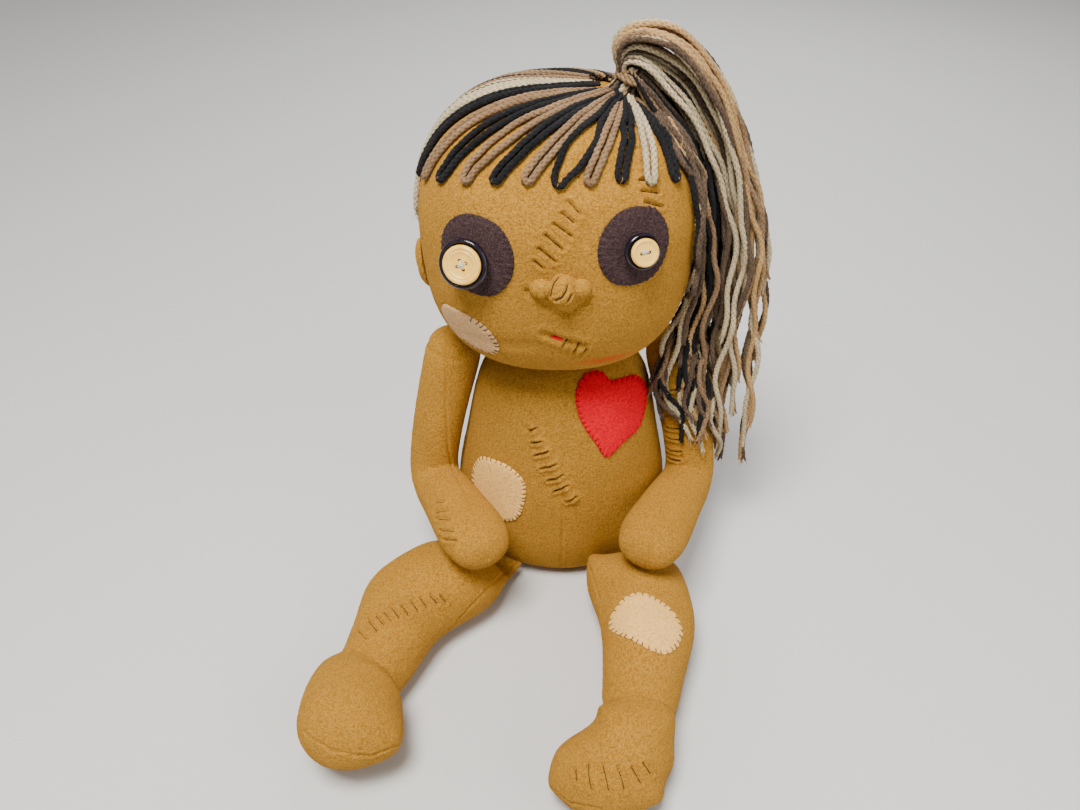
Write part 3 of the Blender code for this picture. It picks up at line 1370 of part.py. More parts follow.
def main():
    for obj in list(bpy.data.objects):
        bpy.data.objects.remove(obj)
    materials = make_materials()
    mustard = materials["mustard"]
    nod = add_pivot("neck_pivot", Vector((0, 0, TORSO_HEIGHT)))
    turn = add_pivot("head_pivot", Vector((0, 0, TORSO_HEIGHT)))
    tail = add_pivot("ponytail_pivot", ponytail_pivot())
    torso = make_torso(mustard)
    make_neck(mustard, nod)
    head = make_head(mustard, turn)
    legs = {}
    for side in (-1, 1):
        hip = add_pivot(side_name("hip", side), hip_place(side))
        legs[side] = make_leg(side, mustard, hip)
        make_foot(side, mustard, hip)
        shoulder = add_pivot(side_name("shoulder", side), shoulder_place(side))
        make_arm(side, surface_of(legs[side]), mustard, shoulder)
    surface = surface_of(head)
    for side in (-1, 1):
        patch = make_eye_patch(side, surface, materials["purple"], turn)
        make_eye_buttons(side, patch, materials["black_plastic"],
                         materials["cream_plastic"], turn)
        make_ear(side, surface, mustard, turn)
    make_nose(surface, mustard, turn)
    make_mouth(surface, materials["red"], turn)
    make_patches(torso, head, legs[1], materials, turn, bpy.data.objects["hip_left"])
    for number in range(len(FRINGE_COLOURS)):
        make_fringe_loop(number, materials, turn)
    make_back_hair(materials["brown_yarn"], turn)
    make_knot(materials["black_yarn"], surface, turn)
    make_tie(materials["tan_yarn"], turn)
    yarns = itertools.cycle(("cream_yarn", "black_yarn", "tan_yarn", "brown_yarn"))
    for row in ("front", "middle", "back"):
        for column in ("inner", "outer"):
            make_lock(row, column, materials[next(yarns)], tail)


main()
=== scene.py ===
"""Looks of the seated felt rag doll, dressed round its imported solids. Metres, +Z up."""

import math
import random

import bmesh
import bpy
import numpy as np
from mathutils import Matrix, Vector
from mathutils.bvhtree import BVHTree


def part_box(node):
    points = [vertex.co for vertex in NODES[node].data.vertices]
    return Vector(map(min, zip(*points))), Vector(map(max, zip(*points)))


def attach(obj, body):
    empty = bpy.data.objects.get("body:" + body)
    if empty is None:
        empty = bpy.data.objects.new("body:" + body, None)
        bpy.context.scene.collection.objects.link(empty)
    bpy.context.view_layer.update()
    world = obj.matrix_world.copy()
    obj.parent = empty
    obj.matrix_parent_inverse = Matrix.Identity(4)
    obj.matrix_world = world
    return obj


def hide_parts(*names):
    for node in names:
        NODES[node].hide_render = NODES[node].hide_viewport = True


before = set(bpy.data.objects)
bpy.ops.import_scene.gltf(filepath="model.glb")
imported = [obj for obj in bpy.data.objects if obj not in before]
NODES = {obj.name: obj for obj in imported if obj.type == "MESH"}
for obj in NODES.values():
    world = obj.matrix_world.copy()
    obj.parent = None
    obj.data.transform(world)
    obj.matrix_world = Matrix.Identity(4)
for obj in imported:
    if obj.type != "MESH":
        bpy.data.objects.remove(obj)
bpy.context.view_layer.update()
MM = 0.001
TURN = 2 * math.pi


def linked(name, data):
    obj = bpy.data.objects.new(name, data)
    bpy.context.scene.collection.objects.link(obj)
    return obj


def middle_of(node):
    low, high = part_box(node)
    return (low + high) / 2


# ---- Camera, floor and light

PHOTO_WIDTH, PHOTO_HEIGHT = 1080, 810
FOCAL_PIXELS = 950
SENSOR = 36.0
CAMERA_PLACE = Vector((-0.013, -0.420, 0.455))
CAMERA_TILT = math.radians(50)
AHEAD = (0, math.sin(CAMERA_TILT), -math.cos(CAMERA_TILT))
UPWARD = (0, math.cos(CAMERA_TILT), math.sin(CAMERA_TILT))
RIGHT = (1, 0, 0)
SKY_COLOUR, SKY_STRENGTH = (1.0, 0.985, 0.96, 1), 0.27
LIGHTS = (  # name, place, target, size, power and colour
    ("key", (-0.20, -0.45, 1.26), (0, -0.03, 0.15), 0.42, 31.0, (1.0, 0.97, 0.92)),
    ("fill", (0.75, -0.65, 0.60), (0, 0, 0.15), 0.8, 4.5, (1.0, 0.98, 0.95)),
    ("rim", (0.25, 0.95, 0.85), (0, 0, 0.2), 0.7, 8.0, (1.0, 1.0, 1.0)),
)
FLOOR_HALF = 3.0
FLOOR_COLOUR = (0.62, 0.62, 0.61, 1)


def make_camera():
    data = bpy.data.cameras.new("camera")
    data.sensor_width = SENSOR
    data.lens = FOCAL_PIXELS / PHOTO_WIDTH * SENSOR
    data.clip_start = 0.01
    camera = linked("camera", data)
    camera.location = CAMERA_PLACE
    camera.rotation_euler = (CAMERA_TILT, 0, 0)
    bpy.context.scene.camera = camera


def sight(px, py):
    """The direction from the camera through a pixel of the photograph."""
    return (Vector(AHEAD) + Vector(RIGHT) * ((px - PHOTO_WIDTH / 2) / FOCAL_PIXELS)
            + Vector(UPWARD) * ((PHOTO_HEIGHT / 2 - py) / FOCAL_PIXELS)).normalized()


def make_stage():
    world = bpy.data.worlds.new("studio")
    world.use_nodes = True
    sky = world.node_tree.nodes["Background"]
    sky.inputs["Color"].default_value = SKY_COLOUR
    sky.inputs["Strength"].default_value = SKY_STRENGTH
    bpy.context.scene.world = world
    for name, place, target, size, power, colour in LIGHTS:
        data = bpy.data.lights.new(name, "AREA")
        data.shape, data.size = "SQUARE", size
        data.energy, data.color = power, colour
        light = linked(name, data)
        light.location = place
        way = Vector(target) - Vector(place)
        light.rotation_euler = way.to_track_quat("-Z", "Y").to_euler()
    mesh = bpy.data.meshes.new("floor")
    corners = [(x * FLOOR_HALF, y * FLOOR_HALF, 0)
               for x, y in ((-1, -1), (1, -1), (1, 1), (-1, 1))]
    mesh.from_pydata(corners, [], [(0, 1, 2, 3)])
    floor = linked("floor", mesh)
    material, _, shader = new_material("floor", 0.7)
    shader.inputs["Base Color"].default_value = FLOOR_COLOUR
    mesh.materials.append(material)


# ---- Materials

MUSTARD = ((0.252, 0.112, 0.010), (0.445, 0.208, 0.024), (0.660, 0.355, 0.064))
FELTS = {  # dark, light and fleck colours, pile and bloom
    "mustard": (*MUSTARD, 1.0, 0.18),
    "face": (*MUSTARD, 1.0, 0.18),
    "purple": ((0.022, 0.012, 0.013), (0.056, 0.031, 0.031), (0.120, 0.078, 0.078), 1.0, 0.18),
    "tan": ((0.70, 0.36, 0.09), (0.95, 0.54, 0.15), (1.0, 0.70, 0.28), 0.6, 0.18),
    "cheek": ((0.44, 0.245, 0.100), (0.60, 0.36, 0.16), (0.70, 0.48, 0.28), 0.6, 0.18),
    "red": ((0.56, 0.0, 0.008), (0.82, 0.0, 0.017), (0.92, 0.003, 0.026), 0.8, 0.04),
}
# Painted reflection under the chin: the red light that the heart throws up onto the face felt,
# painted into its colour round this pixel's place. The next row gives its reach and colour.
CHIN_PIXEL = (606, 360)
CHIN_RED_REFLECTION = ((0.020, 0.03, 0.0042), (0.55, 0.085, 0.012))  # its reach and colour
YARNS = {  # dark, light and fleck colours, and the sheen where it isn't the usual one
    "black_yarn": ((0.006, 0.006, 0.007), (0.016, 0.0155, 0.017), (0.045, 0.043, 0.045), 0.02),
    "cream_yarn": ((0.48, 0.38, 0.22), (0.71, 0.57, 0.34), (0.88, 0.77, 0.53)),
    "tan_yarn": ((0.21, 0.115, 0.052), (0.33, 0.195, 0.095), (0.52, 0.35, 0.20)),
    "gold_yarn": ((0.42, 0.225, 0.075), (0.62, 0.365, 0.140), (0.82, 0.58, 0.32)),
    "brown_yarn": ((0.050, 0.029, 0.018), (0.110, 0.068, 0.042), (0.32, 0.21, 0.13)),
    "dark_thread": ((0.030, 0.015, 0.005), (0.052, 0.027, 0.008), (0.10, 0.055, 0.02)),
    "brown_thread": ((0.060, 0.033, 0.014), (0.100, 0.058, 0.026), (0.16, 0.10, 0.05)),
    "copper_thread": ((0.34, 0.13, 0.03), (0.50, 0.22, 0.06), (0.65, 0.35, 0.12)),
    "red_thread": ((0.30, 0.002, 0.006), (0.45, 0.004, 0.010), (0.6, 0.02, 0.03)),
    "purple_thread": ((0.030, 0.018, 0.020), (0.050, 0.030, 0.032), (0.09, 0.06, 0.065)),
    "white_thread": ((0.70, 0.66, 0.60), (0.85, 0.83, 0.78), (0.95, 0.94, 0.92)),
}
PLASTICS = {  # dark and light colours, and the roughness
    "black_plastic": ((0.006, 0.005, 0.010), (0.014, 0.010, 0.020), 0.12),
    "cream_plastic": ((0.86, 0.49, 0.075), (0.94, 0.58, 0.11), 0.34),
}


def add_node(tree, kind, inputs=None, **settings):
    node = tree.nodes.new(kind)
    for key, value in settings.items():
        setattr(node, key, value)
    for key, value in (inputs or {}).items():
        if isinstance(value, bpy.types.NodeSocket):
            tree.links.new(value, node.inputs[key])
        else:
            node.inputs[key].default_value = value
    return node


def maths(tree, operation, *values):
    return add_node(tree, "ShaderNodeMath", dict(enumerate(values)),
                    operation=operation).outputs[0]


def vector_maths(tree, operation, *values):
    return add_node(tree, "ShaderNodeVectorMath", dict(enumerate(values)), operation=operation
                    ).outputs["Value" if operation == "LENGTH" else "Vector"]


def mix_colours(tree, factor, first, second):
    first, second = (colour if isinstance(colour, bpy.types.NodeSocket) else (*colour, 1)
                     for colour in (first, second))
    return add_node(tree, "ShaderNodeMix", {0: factor, 6: first, 7: second},
                    data_type="RGBA").outputs[2]


def spread_of(tree, value, low, high):
    """The value, from 0 at low to 1 at high."""
    return add_node(tree, "ShaderNodeMapRange",
                    {"Value": value, "From Min": low, "From Max": high}).outputs["Result"]


def noise(tree, vector, scale, detail=3.0, distortion=0.0):
    return add_node(tree, "ShaderNodeTexNoise", {
        "Vector": vector, "Scale": scale, "Detail": detail, "Distortion": distortion,
    }).outputs["Fac"]


def object_place(tree):
    return add_node(tree, "ShaderNodeTexCoord").outputs["Object"]


def add_bump(tree, shader, height, strength, distance):
    bump = add_node(tree, "ShaderNodeBump",
                    {"Height": height, "Strength": strength, "Distance": distance})
    tree.links.new(bump.outputs["Normal"], shader.inputs["Normal"])


def new_material(name, roughness):
    material = bpy.data.materials.new(name)
    material.use_nodes = True
    shader = material.node_tree.nodes["Principled BSDF"]
    shader.inputs["Roughness"].default_value = roughness
    return material, material.node_tree, shader


def set_sheen(shader, weight, specular):
    shader.inputs["Sheen Weight"].default_value = weight
    shader.inputs["Sheen Roughness"].default_value = 0.5
    shader.inputs["Specular IOR Level"].default_value = specular


def felt(name, dark, light, fleck, pile, bloom, painted_reflection=None):
    """Brushed woollen felt: matted fibres in clumps, soft patches of shade, a dull bloom."""
    material, tree, shader = new_material(name, 0.97)
    place = object_place(tree)
    broad = spread_of(tree, noise(tree, place, 42), 0.34, 0.66)
    clumps = noise(tree, place, 780, distortion=0.35)
    fibre = noise(tree, place, 2100, distortion=0.9)
    flecks = maths(tree, "MULTIPLY", spread_of(tree, fibre, 0.48, 0.66), 0.7)
    base = mix_colours(tree, broad, [0.82 * c for c in light], light)
    base = mix_colours(tree, spread_of(tree, clumps, 0.62, 0.34), base, dark)
    base = mix_colours(tree, flecks, base, fleck)
    # Painted reflection: the colour turns towards a red round a centre and fades out over its
    # reach, with a ragged edge.
    if painted_reflection:
        centre, reach, colour = painted_reflection
        away = vector_maths(tree, "SUBTRACT", place, centre)
        away = vector_maths(tree, "MULTIPLY", away, [1 / r for r in reach])
        ragged = maths(tree, "MULTIPLY_ADD", clumps, 0.5, vector_maths(tree, "LENGTH", away))
        base = mix_colours(tree, spread_of(tree, ragged, 1.25, 0.45), base, colour)
    tree.links.new(base, shader.inputs["Base Color"])
    height = maths(tree, "MULTIPLY_ADD", fibre, 0.55, clumps)
    add_bump(tree, shader, height, 0.75 * pile, 1.3 * MM)
    set_sheen(shader, bloom, 0.08)
    shader.inputs["Sheen Tint"].default_value = (*[min(1, c * 1.5) for c in fleck], 1)
    return material


def yarn_look(name, dark, light, fleck, sheen=0.08):
    """Plied yarn: fibres along each ply, painted shade between plies, lighter flecks."""
    material, tree, shader = new_material(name, 0.92)
    strand = add_node(tree, "ShaderNodeAttribute", attribute_name="strand").outputs["Vector"]
    parts = add_node(tree, "ShaderNodeSeparateXYZ", {0: strand})
    # ply is 0 in the valleys between plies and 1 towards their crowns: the mask of the painted
    # shade.
    ply = spread_of(tree, parts.outputs["Y"], -1.0, 0.1)
    stretched = vector_maths(tree, "MULTIPLY", strand, (330, 2.4, 2.4))
    along = vector_maths(tree, "MULTIPLY", strand, (45, 0.3, 0.3))
    shade = spread_of(tree, noise(tree, along, 1.0), 0.38, 0.62)
    streak = spread_of(tree, noise(tree, stretched, 1.0), 0.46, 0.66)
    base = mix_colours(tree, shade, dark, light)
    base = mix_colours(tree, maths(tree, "MULTIPLY", streak, 0.6), base, fleck)
    # Painted shade: the valleys between plies darkened towards a third of the dark colour.
    base = mix_colours(tree, ply, [0.30 * c for c in dark], base)
    tree.links.new(base, shader.inputs["Base Color"])
    height = maths(tree, "ADD", noise(tree, stretched, 2.0),
                   noise(tree, object_place(tree), 1500, distortion=1.0))
    add_bump(tree, shader, height, 0.7, 0.8 * MM)
    set_sheen(shader, sheen, 0.10)
    return material


def moulded(name, dark, light, roughness):
    """Polished button plastic with faint swirls and a few scuffs."""
    material, tree, shader = new_material(name, roughness)
    place = object_place(tree)
    swirl = spread_of(tree, noise(tree, place, 160, 4, 2.0), 0.35, 0.65)
    tree.links.new(mix_colours(tree, swirl, dark, light), shader.inputs["Base Color"])
    scuffs = spread_of(tree, noise(tree, place, 900, 5, 0.5), 0.55, 0.8)
    rough = maths(tree, "MULTIPLY_ADD", scuffs, 0.2, roughness)
    tree.links.new(rough, shader.inputs["Roughness"])
    add_bump(tree, shader, noise(tree, place, 500), 0.05, 0.2 * MM)
    return material


def make_materials():
    """Every material by its name, the felts by their colour's."""
    chin = seen(tree_of(NODES["head"].data), *CHIN_PIXEL)
    # The face felt carries the painted reflection of the heart under the chin.
    look = {name: felt(name + "_felt", *row,
                       painted_reflection=(list(chin), *CHIN_RED_REFLECTION) if name == "face" else None)
            for name, row in FELTS.items()}
    look.update({name: yarn_look(name, *row) for name, row in YARNS.items()})
    look.update({name: moulded(name, *row) for name, row in PLASTICS.items()})
    return look


# ---- Meshes, surfaces and lines on them

RAY_START = 0.3  # how far before a form the rays that meet it start


def add_piece(name, mesh, body, slot, *replaced):
    """One piece of the doll, in place, which moves with a body."""
    piece = linked(name, mesh)
    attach(piece, body)
    if replaced:
        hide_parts(*replaced)
    return piece


def evaluated_mesh(obj, name):
    bpy.context.view_layer.update()
    graph = bpy.context.evaluated_depsgraph_get()
    mesh = bpy.data.meshes.new_from_object(obj.evaluated_get(graph))
    mesh.name = name
    return mesh


def mesh_from(shell, name):
    mesh = bpy.data.meshes.new(name)
    shell.to_mesh(mesh)
    shell.free()
    return mesh


def add_modifier(obj, kind, **settings):
    modifier = obj.modifiers.new(kind.lower(), kind)
    for key, value in settings.items():
        setattr(modifier, key, value)


def remeshed(shell, name, voxel, rounds, levels=0, grow=0.0):
    """An even, finely divided and smooth mesh in the form of a bmesh, which is freed."""
    work = mesh_from(shell, name + "_work")
    obj = linked(name + "_work", work)
    if levels:
        add_modifier(obj, "SUBSURF", levels=levels, render_levels=levels)
    if grow:
        add_modifier(obj, "DISPLACE", strength=grow, mid_level=0)
    add_modifier(obj, "REMESH", mode="VOXEL", voxel_size=voxel)
    add_modifier(obj, "SMOOTH", factor=0.5, iterations=rounds)
    if grow:
        add_modifier(obj, "DISPLACE", strength=-0.6 * grow, mid_level=0)
    mesh = evaluated_mesh(obj, name)
    bpy.data.objects.remove(obj)
    bpy.data.meshes.remove(work)
    mesh.materials.clear()
    return mesh


def rounded_copy(nodes, voxel, grow=0.0):
    """The rounded form of one or more CAD nodes together."""
    shell = bmesh.new()
    for node in nodes:
        shell.from_mesh(NODES[node].data)
    bmesh.ops.remove_doubles(shell, verts=shell.verts, dist=0.01 * MM)
    bmesh.ops.join_triangles(shell, faces=shell.faces, angle_face_threshold=0.9,
                             angle_shape_threshold=1.2, cmp_seam=False, cmp_sharp=False)
    return remeshed(shell, nodes[0], voxel, 6, levels=2, grow=grow)


def ring_faces(start, rows, sides):
    """The squares between rings of vertices that follow each other."""
    return [(a + k, a + (k + 1) % sides, a + (k + 1) % sides + sides, a + k + sides)
            for a in range(start, start + (rows - 1) * sides, sides) for k in range(sides)]


def closed_tube(name, vertices, sides, material):
    """A mesh round rings of vertices, shut at both ends, with its faces outwards."""
    last = len(vertices) - sides
    faces = ring_faces(0, len(vertices) // sides, sides)
    faces += [tuple(range(sides)), tuple(reversed(range(last, last + sides)))]
    mesh = bpy.data.meshes.new(name)
    mesh.from_pydata(vertices, [], faces)
    shell = bmesh.new()
    shell.from_mesh(mesh)
    bmesh.ops.recalc_face_normals(shell, faces=shell.faces)
    shell.to_mesh(mesh)
    shell.free()
    mesh.materials.append(material)
    return mesh


def tree_of(mesh):
    vertices = [vertex.co.copy() for vertex in mesh.vertices]
    return BVHTree.FromPolygons(vertices, [tuple(p.vertices) for p in mesh.polygons])


def arrays_of(mesh):
    count = len(mesh.vertices)
    places, normals = np.empty(count * 3), np.empty(count * 3)
    mesh.vertices.foreach_get("co", places)
    mesh.vertex_normals.foreach_get("vector", normals)
    return places.reshape(-1, 3), normals.reshape(-1, 3)


def move_to(mesh, places):
    mesh.vertices.foreach_set("co", places.astype(np.float32).ravel())
    mesh.update()


def seen(tree, px, py):
    """Where the photograph's pixel falls on a surface."""
    return tree.ray_cast(CAMERA_PLACE, sight(px, py))[0]


def on_surface(tree, point, lift):
    place, normal, _, _ = tree.find_nearest(point)
    return place + normal * lift


def clear_of(tree, point, gap):
    """The point, moved out from a surface until it's a gap away from it."""
    near, normal, _, _ = tree.find_nearest(point)
    return point + normal * max(0, gap - (point - near).dot(normal))


def cast_line(points, spacing, cast):
    """What a cast gives at even steps along straight parts, without its misses."""
    line = []
    for a, b in zip(points, points[1:]):
        steps = max(1, round(math.dist(a, b) / spacing))
        for k in range(1 if line else 0, steps + 1):
            place = cast([p + (q - p) * k / steps for p, q in zip(a, b)])
            if place is not None:
                line.append(place)
    return line


def traced(tree, pixels):
    """A line on a surface through pixels of the photograph."""
    return cast_line(pixels, 3.0, lambda pixel: seen(tree, *pixel))


def through(*pixels):
    """What gives the line through these pixels on a form, from the form's tree."""
    return lambda tree: traced(tree, pixels)


def across(way, *points):
    """What gives the line that points beside a form throw on it along an axis."""
    way = Vector(way)
    return lambda tree: cast_line(
        points, 3 * MM, lambda point: tree.ray_cast(Vector(point) - way * RAY_START, way)[0])


def smoothed(line, rounds):
    for _ in range(rounds):
        inner = [(a + 2 * b + c) / 4 for a, b, c in zip(line, line[1:], line[2:])]
        line = [line[0], *inner, line[-1]]
    return line


def spline(corners, parts):
    """A smooth curve through all corners but the first and the last, in short parts."""
    dense = []
    for a, b, c, d in zip(corners, corners[1:], corners[2:], corners[3:]):
        for k in range(parts):
            t = k / parts
            dense.append(0.5 * (2 * b + (c - a) * t + (2 * a - 5 * b + 4 * c - d) * t * t
                                + (3 * b - a - 3 * c + d) * t ** 3))
    return dense


def evenly(dense, step, least):
    """Points an even step apart along a line, without its last one, and its length."""
    length = sum((q - p).length for p, q in zip(dense, dense[1:]))
    count = max(least, round(length / step))
    goal, gone, result = length / count, 0.0, [dense[0]]
    for p, q in zip(dense, dense[1:]):
        piece = (q - p).length
        while piece > 0 and gone + piece >= goal * len(result) and len(result) < count:
            result.append(p + (q - p) * ((goal * len(result) - gone) / piece))
        gone += piece
    return result, length


def resampled(points, step):
    """Points an even step apart along a smooth curve through the given ones."""
    dense = spline([points[0], *points, points[-1]], 8) + [points[-1]]
    return evenly(dense, step, 2)[0] + [points[-1]]


def closed_curve(points, step):
    """Even points round a smooth closed curve, and its length."""
    dense = spline([points[-1], *points, *points[:2]], 10)
    return evenly(dense + [dense[0].copy()], step, 24)


class Strands:
    """Many tubes of yarn or thread, gathered into one mesh."""

    def __init__(self, seed):
        self.vertices, self.faces, self.slots, self.coords = [], [], [], []
        self.materials = []
        self.random = random.Random(seed)

    def slot_of(self, material):
        if material not in self.materials:
            self.materials.append(material)
        return self.materials.index(material)

    def tube(self, path, radius, material, sides=12, lobes=3, lobe_depth=0.20,
             pitch=8 * MM, caps=True):
        """A twisted strand along even steps. Its radius may be a function of the share."""
        start, last = len(self.vertices), len(path) - 1
        phase = self.random.uniform(0, TURN)
        seed = 10 * self.random.random()
        radii = [radius(i / last) if callable(radius) else radius for i in range(last + 1)]
        run = 0.0
        tangent = (path[1] - path[0]).normalized()
        side = tangent.orthogonal().normalized()
        for i, place in enumerate(path):
            ahead = path[min(i + 1, last)] - path[max(i - 1, 0)]
            if ahead.length > 1e-9:
                tangent = ahead.normalized()
            side = (side - tangent * side.dot(tangent)).normalized()
            up = tangent.cross(side)
            if i:
                run += (place - path[i - 1]).length
            spin = phase + TURN * run / pitch
            for k in range(sides):
                turn = TURN * k / sides
                ply = lobes * (turn - spin) if lobes else turn
                swell = 1 + lobe_depth * math.cos(ply) if lobes else 1
                out = side * math.cos(turn) + up * math.sin(turn)
                self.vertices.append(place + out * (radii[i] * swell))
                # The strand attribute: the run along the strand and the ply's phase, which
                # also places the yarn's painted shade between plies.
                self.coords.append((run + seed, math.cos(ply), math.sin(ply)))
        faces = ring_faces(start, last + 1, sides)
        for row, order in ((0, -1), (last, 1)) if caps else ():
            tip, ring = len(self.vertices), start + row * sides
            out = (path[row] - path[row - order]).normalized()
            self.vertices.append(path[row] + out * (radii[row] * 0.5))
            self.coords.append((run * row / last + seed, 1.0, 0.0))
            for k in range(sides):
                a, b = ring + k, ring + (k + 1) % sides
                faces.append((a, b, tip) if order > 0 else (b, a, tip))
        self.faces += faces
        self.slots += [self.slot_of(material)] * len(faces)

    def frayed_end(self, path, radius, material):
        """The plies and a few fibres that part where a strand was cut."""
        tip, way = path[-1], (path[-1] - path[-3]).normalized()
        side = way.orthogonal().normalized()
        up = way.cross(side)
        turn = self.random.uniform(0, TURN)
        for k in range(3):
            angle = turn + TURN * k / 3
            out = side * math.cos(angle) + up * math.sin(angle)
            length = self.random.uniform(2.0, 4.5) * MM
            flare = self.random.uniform(0.3, 1.0) * radius
            ply = [tip - way * (1.5 * MM) + out * (radius * 0.35)]
            for s in (0.25, 0.5, 0.75, 1.0):
                ply.append(tip + way * (length * s) + out * (radius * 0.35 + flare * s ** 1.5)
                           - Vector((0, 0, 0.6 * MM * s * s)))
            self.tube(ply, lambda t: radius * (0.58 - 0.20 * t), material, sides=6, lobes=0)
        for _ in range(4):
            out = (side * self.random.uniform(-1, 1) + up * self.random.uniform(-1, 1))
            length = self.random.uniform(4.0, 8.0) * MM
            fibre = [tip + out * (radius * 0.4)]
            for s in (0.33, 0.66, 1.0):
                fibre.append(fibre[0] + way * (length * s) + out * (1.8 * radius * s * s))
            self.tube(fibre, lambda t: 0.16 * MM * (1.1 - 0.8 * t), material, sides=3,
                      lobes=0, caps=False)

    def add(self, name, body, slot, *replaced):
        """The strands as one piece of the doll."""
        mesh = bpy.data.meshes.new(name)
        mesh.from_pydata(self.vertices, [], self.faces)
        for material in self.materials:
            mesh.materials.append(material)
        mesh.polygons.foreach_set("material_index", self.slots)
        strand = mesh.attributes.new("strand", "FLOAT_VECTOR", "POINT")
        strand.data.foreach_set("vector", [c for coord in self.coords for c in coord])
        mesh.shade_smooth()
        mesh.update()
        return add_piece(name, mesh, body, slot, *replaced)


# ---- Sewn felt forms

NAP = 0.07 * MM  # how uneven the brushed felt is
LADDER = (0.75 * MM, 1.35 * MM, 0.9 * MM)  # a stitch's groove: width, depth, puffs
HEAD_LADDER = (0.75 * MM, 1.3 * MM, 0.65 * MM)
SEAM = (0.8 * MM, 0.75 * MM, 0.22 * MM)
PUFF_AT, PUFF_WIDTH = 2.2, 1.2  # from the groove, in its own widths
STITCH_RADIUS, STITCH_STEPS = 0.24 * MM, 8


def distance_to(places, line):
    best = np.full(len(places), 1.0)
    line = [np.array(point) for point in line]
    for a, b in zip(line, line[1:]):
        run = b - a
        length = run @ run
        if length < 1e-14:
            continue
        share = np.clip((places - a) @ run / length, 0, 1)
        away = np.linalg.norm(places - (a + share[:, None] * run), axis=1)
        best = np.minimum(best, away)
    return best


def shape_felt(mesh, marks):
    """Moves the felt along its normals: seams, creases and pulled stitches, with puffs."""
    places, normals = arrays_of(mesh)
    lift = np.zeros(len(places))
    for line, width, depth, puff in marks:
        if len(line) < 2:
            continue
        points = np.array([list(point) for point in line])
        low, high = points.min(0) - 5 * width, points.max(0) + 5 * width
        near = np.all((places > low) & (places < high), axis=1)
        if near.any():
            away = distance_to(places[near], line) / width
            lift[near] += (puff * np.exp(-((away - PUFF_AT) / PUFF_WIDTH) ** 2)
                           - depth * np.exp(-away ** 2))
    lift += np.random.default_rng(len(places)).normal(0, NAP, len(places))
    move_to(mesh, places + normals * lift[:, None])


def sunk_thread(strands, tree, felt_tree, a, b, material):
    """One stitch at the bottom of the groove that it pulls into the felt."""
    spots, rises = [], []
    for k in range(STITCH_STEPS + 1):
        place, normal, _, _ = tree.find_nearest(a.lerp(b, k / STITCH_STEPS))
        hit, _, _, _ = felt_tree.ray_cast(place + normal * (3 * MM), -normal)
        spots.append((place, normal))
        rises.append(0.0 if hit is None else (hit - place).dot(normal))
    path = []
    for k, ((place, normal), rise) in enumerate(zip(spots, smoothed(rises, 3))):
        dive = 1.7 * (2 * k / STITCH_STEPS - 1) ** 6
        path.append(place + normal * (rise + STITCH_RADIUS * (0.45 - dive)))
    strands.tube(path, STITCH_RADIUS, material, sides=8, lobe_depth=0.12, pitch=2.2 * MM)


def sew(mesh, material, seams, stitches, creases=(), ladder=LADDER):
    """Pulls seams, stitches and creases into a form. Gives its tree before, and the stitches.

    Seams and creases are functions of the form's tree that give lines on it.
    """
    tree = tree_of(mesh)
    pairs = [(seen(tree, ax, ay), seen(tree, bx, by)) for ax, ay, bx, by in stitches]
    pairs = [(a, b) for a, b in pairs if a is not None and b is not None]
    marks = [([a, a.lerp(b, 0.5), b], *ladder) for a, b in pairs]
    marks += [(make(tree), *SEAM) for make in seams]
    marks += [(make(tree), *groove) for make, *groove in creases]
    shape_felt(mesh, marks)
    mesh.materials.append(material)
    mesh.shade_smooth()
    return tree, pairs


def add_stitches(name, tree, felt_tree, pairs, thread, body):
    strands = Strands(name)
    for a, b in pairs:
        sunk_thread(strands, tree, felt_tree, a, b, thread)
    strands.add(name + "_stitches", body, "mustard_felt")


def stitched_felt(node, body, voxel, look, material="mustard", seams=(), stitches=(), **marks):
    """A stuffed form with its seams and pulled stitches, and its threads. Gives its tree."""
    mesh = rounded_copy((node,), voxel)
    tree, pairs = sew(mesh, look[material], seams, stitches, **marks)
    felt_tree = tree_of(mesh)
    add_piece(node + "_felt", mesh, body, "mustard_felt", node)
    if pairs:
        add_stitches(node + "_felt", tree, felt_tree, pairs, look["dark_thread"], body)
    return felt_tree


# ---- Head, torso, limbs and nose

# Stitches as pairs of the photograph's pixels, by the form that they pull in
HEAD_STITCHES = (
    (568, 201, 581, 215), (562, 213, 575, 224), (554, 224, 572, 237), (545, 235, 562, 250),
    (538, 248, 555, 262), (534, 261, 543, 269),  # the bridge of the nose
    (625, 130, 633, 131), (625, 142, 635, 142), (640, 180, 655, 179), (642, 191, 659, 193),
    (645, 202, 663, 207),  # the forehead
    (569, 340, 562, 347), (580, 344, 573, 353), (587, 349, 581, 355),  # the mouth
)
BELLY_STITCHES = (
    (530, 431, 536, 428), (532, 443, 541, 441), (535, 456, 548, 451), (541, 469, 556, 464),
    (548, 481, 562, 475), (554, 492, 567, 485), (566, 502, 576, 496),
)
RIGHT_WRIST_STITCHES = (
    (435, 502, 444, 502), (435, 512, 447, 511), (437, 519, 450, 520), (440, 531, 453, 531),
    (444, 540, 456, 540),
)
LEFT_ARM_STITCHES = (
    (666, 391, 680, 389), (666, 403, 681, 402), (666, 415, 680, 415), (666, 427, 680, 429),
    (667, 437, 681, 440), (668, 449, 680, 452), (669, 458, 679, 461),
)
SHIN_STITCHES = (
    (346, 642, 353, 648), (357, 630, 366, 639), (367, 620, 377, 631), (375, 615, 384, 625),
    (383, 611, 392, 621), (391, 607, 400, 618), (401, 604, 409, 615), (411, 601, 419, 611),
    (421, 598, 428, 608), (431, 596, 438, 604), (441, 596, 447, 603),
)
